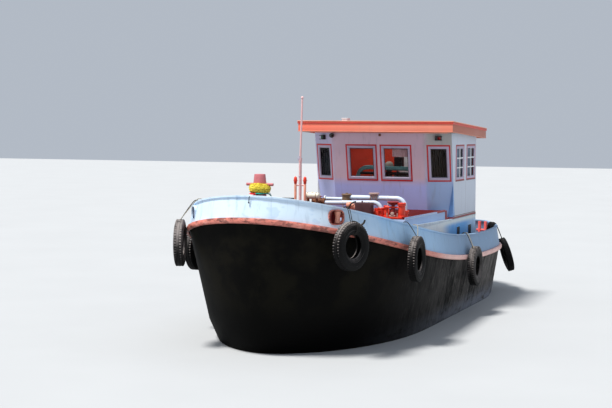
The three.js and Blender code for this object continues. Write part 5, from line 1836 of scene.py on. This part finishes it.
def make_door_gear():
    m = Mesh()
    for low, high in ((2.42, 2.98), (3.06, 3.30)):
        m.moulding(wall_at((DOOR_SKIN, 0.24, low), -Y_AXIS), 0.48, high - low, DOOR_PANEL)
    m.piece("door_panels", WHITE, body="door")
    window = wall_at((DOOR_SKIN, 0.20, 3.42), -Y_AXIS)
    m = Mesh()
    m.moulding(window, 0.40, 0.50, DOOR_WINDOW)
    m.piece("door_window_frame", TRIM, body="door")
    m = Mesh()
    m.bar(window, (0.038, 0.362), (0.038, 0.462), (0.0005, 0.0045), 0.002)
    m.piece("door_window_pane", BLACK, body="door")
    m = Mesh()
    m.bar(wall_at((DOOR_SKIN, 0.28, 2.30), -Y_AXIS), (0.0, 0.56), (0.0, 0.075), (0.0, 0.003), 0.0012)
    for y in (0.25, 0.0, -0.25):
        m.drum((DOOR_SKIN, y, 2.337), (DOOR_SKIN - 0.0055, y, 2.337), 0.006, 0.0012, 10)
    m.piece("door_kick_plate", STEEL, body="door")


def make_door_frame():
    """Trim round the doorway, on the wall."""
    wall = wall_at((HOUSE_AFT, 0.42, 2.262), -Y_AXIS)
    m = Mesh()
    m.bar(wall, (0.0, 0.045), (0.0, 1.90), (-0.001, 0.012))
    m.bar(wall, (0.795, 0.84), (0.0, 1.90), (-0.001, 0.012))
    m.bar(wall, (-0.02, 0.86), (1.90, 1.945), (-0.001, 0.018))
    m.piece("doorway_trim", DARK_RED)


def make_step_gear():
    """Grips on the two steps, and the rail beside them."""
    foot = sheer(STEP_AFT)
    rise = (2.2155 - foot) / 3
    m = Mesh()
    for i in range(2):
        top = foot + rise * (i + 1)
        for k in range(5):
            x = STEP_AFT - STEP_DEEP * (2 - i) + 0.030 + k * 0.045
            m.box((x, -0.30, top - 0.001), (x + 0.016, 0.30, top + 0.004), 0.0015)
    m.piece("step_grips", BLACK)
    deck = sheer(RAIL_X)
    bends = ((-3.712, 2.95), (-3.80, 2.95), (-3.86, 2.88), (-4.20, 2.45), (RAIL_X, 2.33))
    rail = (*bends, (RAIL_X, deck + 0.004))
    m = Mesh()
    m.tube(smooth_path([(x, RAIL_Y, z) for x, z in rail], 0.03), 0.016, 12)
    m.drum((-3.7065, RAIL_Y, 2.95), (-3.718, RAIL_Y, 2.95), 0.036, 0.003, 18)
    m.drum((RAIL_X, RAIL_Y, deck + 0.001), (RAIL_X, RAIL_Y, deck + 0.012), 0.040, 0.003, 18)
    m.piece("step_rail", WHITE)


for hull_side in SIDES:
    make_lid_gear(*hull_side)
make_door_gear()
make_door_frame()
make_step_gear()

# Wheelhouse inside

CONSOLE_TOP = 3.08
CONSOLE_PANEL = [(0, 0.0), (0, 0.010), (0.014, 0.016), (0.040, 0.016), (0.052, 0.004), (0.052, 0.0)]
GAUGE = [
    (0, -0.03), (0.050, -0.03), (0.054, 0.0), (0.054, 0.012), (0.046, 0.014), (0.044, 0.006), (0, 0.006),
]
RAIL_AT = -1.40
WHEEL_AT = Vector((-2.010, 0, 2.970))
SEAT_X, CABIN_FLOOR = -2.76, 2.216
SEAT_Z = CABIN_FLOOR + 0.48


def pleated(start, end, top, bottom, pleats, deep, lean):
    """Rows of points of a curtain that hangs in pleats between two points."""
    start, end = Vector(start), Vector(end)
    along = (end - start).normalized()
    out = along.cross(Z_AXIS)
    rows = []
    for r in range(23):
        t = r / 22
        line = []
        for c in range(pleats * 10 + 1):
            s = c / (pleats * 10)
            phase = s * pleats * 2 * pi
            swell = deep * (0.55 + 0.4 * t) * (1 + 0.25 * sin(phase * 0.37 + 1.3))
            fold = out * (swell * sin(phase + 0.5 * sin(2.1 * t + s * 5)))
            point = start.lerp(end, s) + fold + along * (0.006 * sin(3 * t + phase * 0.5))
            point.z = top + (bottom - top) * t + 0.004 * sin(phase) * t
            point.x += lean * (point.z - top)
            line.append(point)
        rows.append(line)
    return rows


def make_curtain(name, material, start, end, top, bottom, pleats, deep, lean=0.0):
    rows = pleated(start, end, top, bottom, pleats, deep, lean)
    m = Mesh()
    m.sheet([m.verts(row) for row in rows])
    curtain = m.piece(name, material, angle=80)
    thicken(curtain, 0.0015)


def make_rod(name, start, end, radius):
    m = Mesh()
    m.tube([start, end], radius)
    m.piece(name, STEEL)


def make_curtains():
    x = front_x(4.10) - 0.15
    for side, hand, reach, material in (
        (1, "port", 0.02, CURTAIN_BROWN), (-1, "starboard", -0.05, CURTAIN_NAVY),
    ):
        fore = Vector((x - 0.02, side * (CENTRE_HALF + reach), 0))
        aft = Vector((x - 0.335, side * (HOUSE_HALF - 0.075), 0))
        make_curtain(f"facet_curtain_{hand}", material, fore, aft, 4.10, 3.12, 9, 0.014, RAKE)
        ends = fore + Vector((0.01, 0, 4.115)), aft + Vector((-0.01, side * 0.01, 4.115))
        make_rod(f"curtain_rail_{hand}", *ends, 0.009)
    far, near = HOUSE_HALF - 0.105, HOUSE_HALF - 0.072
    for tag, fore, aft in (("fore", -1.66, -2.63), ("aft", -2.68, -3.62)):
        ends = (fore, far, 0), (aft, near, 0)
        make_curtain(f"side_curtain_{tag}", CURTAIN_GREY, *ends, 4.085, 3.13, 9, 0.012)
        make_rod(f"side_curtain_rail_{tag}", (fore + 0.02, far, 4.097), (aft - 0.02, near, 4.097), 0.007)
    x = front_x(4.05) - 0.10
    make_curtain("front_valance", CURTAIN_PINK, (x, 0.33, 0), (x, 0.82, 0), 4.06, 3.76, 8, 0.010, RAKE)
    make_rod("valance_rail", (x, 0.16, 4.072), (x, 0.90, 4.072), 0.008)


def make_grab_rail():
    """Thick painted tube that stands on the floor ahead of the console."""
    x = RAIL_AT
    path = [
        (-0.72, 2.225), (-0.72, 2.8), (-0.72, 3.12), (-0.71, 3.25), (-0.65, 3.38), (-0.54, 3.455),
        (-0.38, 3.475), (-0.2, 3.465), (0.2, 3.452), (0.62, 3.448), (0.74, 3.40), (0.795, 3.29),
        (0.80, 3.18), (0.80, 2.8), (0.80, 2.225),
    ]
    m = Mesh()
    m.tube(smooth_path([(x, y, z) for y, z in path], 0.03), 0.054, 24)
    for y in (-0.72, 0.80):
        m.drum((x, y, 2.216), (x, y, 2.230), 0.090, 0.003)
        m.bolts((x, y, 2.230), Z_AXIS, 0.072, 4, 0.008, 0.008)
    for y in (-0.45, 0.0, 0.45):
        m.ring((x, y, 3.462), Y_AXIS, 0.055, 0.004, 28, 6)
    m.piece("front_rail", TEAL)
    m = Mesh()
    for y in (-0.28, 0.34):
        m.tube([(x, y, 2.225), (x, y, 3.44)], 0.020, 12)
        m.drum((x, y, 2.2165), (x, y, 2.228), 0.050, 0.003, 18)
    m.tube([(x, -0.68, 3.325), (x, 0.76, 3.325)], 0.036, 16)
    m.piece("front_rail_legs", BLACK)


def make_console():
    top = CONSOLE_TOP
    m = Mesh()
    m.box((-1.93, -0.64, top - 0.001), (-1.49, 0.64, top + 0.022), 0.008)
    for y in (-0.05, 0.58):
        m.moulding(wall_at((-1.9005, y, 2.38), -Y_AXIS), 0.53, 0.52, CONSOLE_PANEL)
    m.piece("console_top", WOOD)
    m = Mesh()
    m.box((-1.72, 0.20, 3.40), (-1.56, 0.42, 3.74), 0.012)
    m.box((-1.68, 0.26, top + 0.02), (-1.62, 0.31, 3.37))
    m.box((-1.70, -0.42, top + 0.02), (-1.58, -0.20, top + 0.16), 0.010)
    for i in range(4):
        m.drum((-1.72, 0.20 + i * 0.055, 3.40), (-1.735, 0.20 + i * 0.055, 3.40), 0.014, 0.003, 14)
    m.piece("console_instruments", BLACK)


def make_compass():
    place = Matrix.Translation((-1.62, 0.05, CONSOLE_TOP))
    m = Mesh()
    m.lathe([
        (0, 0.02), (0.125, 0.02), (0.125, 0.04), (0.090, 0.08), (0.075, 0.20), (0.075, 0.34), (0.105, 0.38),
        (0.125, 0.40), (0.125, 0.415), (0, 0.415),
    ], place, 28)
    m.piece("compass_stand", BLACK)
    dome = [(0.120 * cos(a * pi / 16), 0.425 + 0.120 * sin(a * pi / 16)) for a in range(8)]
    m = Mesh()
    m.lathe([(0, 0.412), (0.120, 0.412), *dome, (0, 0.545)], place, 28)
    m.piece("compass_dome", CREAM)


def make_levers_and_gauges():
    top = CONSOLE_TOP
    m = Mesh()
    for y in (-0.50, -0.40, 0.48, 0.56):
        lever = Vector((-1.80, y, top + 0.02))
        m.tube([lever, lever + Vector((-0.03, 0, 0.15))], 0.007, 8)
        knob = [(0, 0.14), (0.018, 0.146), (0.022, 0.160), (0.016, 0.176), (0, 0.182)]
        m.lathe(knob, Matrix.Translation(lever - X_AXIS * 0.03), 14)
    for low, high in ((-0.54, -0.36), (0.44, 0.60)):
        m.box((-1.88, low, top + 0.02), (-1.72, high, top + 0.030), 0.003)
    m.piece("engine_levers", STEEL)
    m = Mesh()
    for y in (-0.18, -0.04, 0.10):
        m.lathe(GAUGE, aimed((-1.74, y, top + 0.055), (-0.75, 0, 0.65)))
    m.piece("console_gauges", BLACK)


RIM = ((0.222, -0.014), (0.222, 0.014), (0.232, 0.020), (0.252, 0.020), (0.262, 0.014), (0.262, -0.014),
       (0.252, -0.020), (0.232, -0.020))
SPOKE = ((0, 0.03), (0.014, 0.03), (0.016, 0.06), (0.010, 0.09), (0.012, 0.15), (0.016, 0.19), (0.011, 0.215),
         (0.011, 0.262), (0.0135, 0.268), (0.010, 0.276), (0.0125, 0.288), (0.010, 0.298), (0, 0.300))


def make_wheel():
    """Spoked wooden steering wheel, its hub cap and its boss on the console."""
    place = aimed(WHEEL_AT, -X_AXIS)
    m = Mesh()
    m.skin([m.verts(place @ polar(r, angle, h) for r, h in RIM) for angle in around(64)], closed=True)
    for angle in around(8):
        m.lathe(SPOKE, aimed(WHEEL_AT, place.to_3x3() @ polar(1, angle)), 14)
    hub = [(0, -0.026), (0.050, -0.026), (0.058, -0.018), (0.058, 0.018), (0.050, 0.026), (0, 0.026)]
    m.lathe(hub, place, 28)
    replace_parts(m.piece("wheel_rim_and_spokes", WOOD, body="helm_wheel"), "steering_wheel")
    m = Mesh()
    m.lathe([(0, 0.024), (0.034, 0.026), (0.034, 0.032), (0.022, 0.040), (0.012, 0.046), (0, 0.048)], place)
    m.ring(place @ Vector((0, 0, 0.021)), X_AXIS, 0.242, 0.0025, 64, 6)
    m.piece("wheel_hub_cap", BRONZE, body="helm_wheel")
    m = Mesh()
    m.drum((-1.985, 0, 2.97), (-1.905, 0, 2.97), 0.030, 0.003, 18)
    m.drum((-1.9015, 0, 2.97), (-1.912, 0, 2.97), 0.060, 0.003)
    m.piece("wheel_boss", BRONZE)


CELLS = 14
# Belt round a cushion's side: share of the way between its faces, and bulge
WELT = ((0.22, 0.010), (0.40, 0.013), (0.47, 0.019), (0.53, 0.019), (0.60, 0.013), (0.78, 0.010))


def cushion_face(m, middle, size, axes, face, crown):
    """Grid over one big face of a cushion, which swells to its middle."""
    wide, tall, thin = axes
    grid = []
    for i in range(CELLS + 1):
        line = []
        for j in range(CELLS + 1):
            u, v = 2 * i / CELLS - 1, 2 * j / CELLS - 1
            su, sv = copysign(abs(u) ** 0.85, u), copysign(abs(v) ** 0.85, v)
            edge = max(max(abs(u), abs(v)) - 0.86, 0) / 0.14
            point = middle.copy()
            point[wide] += size[wide] / 2 * su * (1 - 0.07 * abs(sv) ** 6)
            point[tall] += size[tall] / 2 * sv * (1 - 0.07 * abs(su) ** 6)
            height = (size[thin] / 2 - crown) * (1 - edge * 0.35) + crown * (1 - su ** 2) * (1 - sv ** 2)
            point[thin] += face * height
            line.append(point)
        grid.append(m.verts(line))
    m.sheet(grid)
    last = CELLS
    near = [grid[i][0] for i in range(last)] + [grid[last][j] for j in range(last)]
    return near + [grid[i][last] for i in range(last, 0, -1)] + [grid[0][j] for j in range(last, 0, -1)]


def make_cushion(name, lo, hi, crown):
    """Stuffed pad: a rounded slab whose big faces swell to their middle, with a welt round its side."""
    lo, hi = Vector(lo), Vector(hi)
    size, middle = hi - lo, (lo + hi) / 2
    thin = min(range(3), key=lambda i: size[i])
    axes = (*(i for i in range(3) if i != thin), thin)
    m = Mesh()
    top, bottom = [cushion_face(m, middle, size, axes, face, crown) for face in (1, -1)]
    belts = [top]
    for share, bulge in WELT:
        belt = []
        for a, b in zip(top, bottom):
            point = a.co.lerp(b.co, share)
            away = point - middle
            away[thin] = 0
            belt.append(point + away.normalized() * bulge)
        belts.append(m.verts(belt))
    m.skin([*belts, bottom])
    m.piece(name, LEATHER, angle=60)


def make_seat():
    x, low, high = SEAT_X, CABIN_FLOOR, SEAT_Z
    m = Mesh()
    m.lathe([
        (0, low), (0.180, low), (0.184, low + 0.008), (0.160, low + 0.020), (0.060, low + 0.045),
        (0.044, low + 0.080), (0.044, high - 0.10), (0.052, high - 0.09), (0.052, high - 0.05),
        (0.120, high - 0.035), (0.120, high - 0.022), (0, high - 0.022),
    ], upright(x, 0), 32)
    m.bolts((x, 0, low + 0.012), Z_AXIS, 0.150, 6, 0.010, 0.012)
    for y in (0.10, -0.10):
        arm = ((0.02, -0.025), (-0.16, -0.025), (-0.235, 0.03), (-0.245, 0.30))
        m.tube(smooth_path([(x + along, y, high + up) for along, up in arm]), 0.014, 12)
    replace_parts(m.piece("seat_frame", STEEL), "helm_seat")
    make_cushion("seat_cushion", (x - 0.215, -0.24, high - 0.020), (x + 0.245, 0.24, high + 0.085), 0.020)
    top = min(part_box("helm_seat")[1].z, high + 0.62) - 0.01
    make_cushion("back_cushion", (x - 0.245, -0.225, high + 0.110), (x - 0.165, 0.225, top), 0.016)


make_curtains()
make_grab_rail()
make_console()
make_compass()
make_levers_and_gauges()
make_wheel()
make_seat()

# Six-cylinder marine diesel in place of the CAD's engine block

ENGINE_LO, ENGINE_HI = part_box("engine")
AFT, FORE, BED = ENGINE_LO.x, ENGINE_HI.x, ENGINE_LO.z
CYLINDERS = [AFT + 0.38 + i * 0.185 for i in range(6)]


def engine_block(m, x, y, z, bevel):
    """Box by its spans, with heights from the engine's bed."""
    m.block(x, y, [BED + height for height in z], bevel)


def engine_point(x, y, z):
    return (x, y, BED + z)


def make_engine_block():
    m = Mesh()
    engine_block(m, (AFT + 0.22, FORE - 0.14), (-0.24, 0.24), (0.30, 0.86), 0.020)
    engine_block(m, (AFT + 0.28, FORE - 0.20), (-0.17, 0.17), (0.01, 0.31), 0.040)
    for side, _ in SIDES:
        skin = (side * 0.240 - 0.012, side * 0.240 + 0.012)
        for x in CYLINDERS:
            engine_block(m, (x - 0.070, x + 0.070), skin, (0.36, 0.60), 0.010)
            m.bolts(engine_point(x, side * 0.252, 0.48), (0, side, 0), 0.085, 4, 0.008, 0.008, turn=0.5)
    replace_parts(m.piece("engine_block", IRON), "engine")


def make_engine_heads():
    m = Mesh()
    for x in CYLINDERS:
        engine_block(m, (x - 0.082, x + 0.082), (-0.150, 0.150), (0.855, 0.975), 0.012)
        engine_block(m, (x - 0.070, x + 0.070), (-0.095, 0.095), (0.970, 1.070), 0.022)
        for y in (-0.125, 0.125):
            for dx in (-0.055, 0.055):
                m.bolts(engine_point(x + dx, y, 0.974), Z_AXIS, 0.0, 1, 0.013, 0.018)
        m.drum(engine_point(x, 0, 1.066), engine_point(x, 0, 1.095), 0.016, 0.003, 12)
    m.piece("engine_heads", TEAL)


def make_exhaust():
    m = Mesh()
    m.tube([engine_point(AFT + 0.30, 0.27, 0.93), engine_point(FORE - 0.24, 0.27, 0.93)], 0.062, 20)
    for x in CYLINDERS:
        m.tube([engine_point(x, 0.15, 0.92), engine_point(x, 0.24, 0.93)], 0.030, 14)
        m.flange(engine_point(x, 0.160, 0.92), Y_AXIS, 0.045, 0.012, 4, both=False)
    top = ENGINE_HI.z
    riser = [engine_point(AFT + x, 0.27, z) for x, z in ((0.32, 0.93), (0.24, 1.00), (0.22, 1.15))]
    m.tube(smooth_path([*riser, (AFT + 0.22, 0.27, top - 0.01)], 0.03), 0.060, 20)
    m.flange((AFT + 0.22, 0.27, top - 0.02), Z_AXIS, 0.085, 0.020, 6)
    m.piece("exhaust_manifold", RUSTY)


def make_intake():
    """Air pipe with its cleaner, and the fuel pump with a line to each cylinder."""
    m = Mesh()
    m.tube([engine_point(AFT + 0.32, -0.24, 0.93), engine_point(FORE - 0.30, -0.24, 0.93)], 0.048, 18)
    for x in CYLINDERS:
        m.tube([engine_point(x, -0.15, 0.92), engine_point(x, -0.22, 0.93)], 0.026, 12)
    cleaner = [(0, 0), (0.10, 0.0), (0.105, 0.01), (0.105, 0.22), (0.10, 0.23), (0.05, 0.24), (0, 0.24)]
    m.lathe(cleaner, Matrix.Translation(engine_point(FORE - 0.32, -0.24, 0.98)), 28)
    engine_block(m, (AFT + 0.55, AFT + 1.05), (-0.36, -0.255), (0.52, 0.70), 0.015)
    for i, head in enumerate(CYLINDERS):
        x = AFT + 0.60 + i * 0.08
        m.drum(engine_point(x, -0.31, 0.69), engine_point(x, -0.31, 0.75), 0.014, 0.002, 10)
        line = ((x, -0.31, 0.745), (x, -0.31, 0.85), (head, -0.19, 1.00), (head, -0.10, 1.02))
        m.tube(smooth_path([engine_point(*p) for p in line], 0.03), 0.005, 8)
    m.piece("intake_and_pump", STEEL)


def make_engine_ends():
    """Gearbox aft and pulleys in front."""
    m = Mesh()
    m.drum(engine_point(AFT + 0.225, 0, 0.50), engine_point(AFT + 0.14, 0, 0.50), 0.34, 0.012, 40)
    m.bolts(engine_point(AFT + 0.14, 0, 0.50), -X_AXIS, 0.31, 12, 0.010, 0.010)
    engine_block(m, (AFT + 0.002, AFT + 0.142), (-0.19, 0.19), (0.22, 0.74), 0.030)
    m.piece("gearbox", IRON)
    m = Mesh()
    m.drum(engine_point(FORE - 0.145, 0, 0.50), engine_point(FORE - 0.075, 0, 0.50), 0.19, 0.008, 36)
    m.drum(engine_point(FORE - 0.145, 0.16, 0.78), engine_point(FORE - 0.085, 0.16, 0.78), 0.075, 0.006, 28)
    for dx in (-0.125, -0.105):
        m.ring(engine_point(FORE + dx, 0, 0.50), X_AXIS, 0.190, 0.006, 40, 6)
    m.piece("front_pulleys", BLACK)


def make_engine_bed():
    m = Mesh()
    long = (AFT + 0.05, FORE - 0.05)
    for side, _ in SIDES:
        y = side * 0.36
        engine_block(m, long, (y - 0.075, y + 0.075), (0.001, 0.022), 0.005)
        engine_block(m, long, (y - 0.012, y + 0.012), (0.020, 0.300), 0.004)
        engine_block(m, long, (y - 0.075, y + 0.075), (0.298, 0.320), 0.005)
        for x in (AFT + 0.36, FORE - 0.34):
            engine_block(m, (x - 0.06, x + 0.06), (side * 0.235, side * 0.40), (0.318, 0.345), 0.006)
            m.bolts(engine_point(x, y, 0.345), Z_AXIS, 0.035, 2, 0.012, 0.014)
    m.piece("engine_bed", RED)


make_engine_block()
make_engine_heads()
make_exhaust()
make_intake()
make_engine_ends()
make_engine_bed()
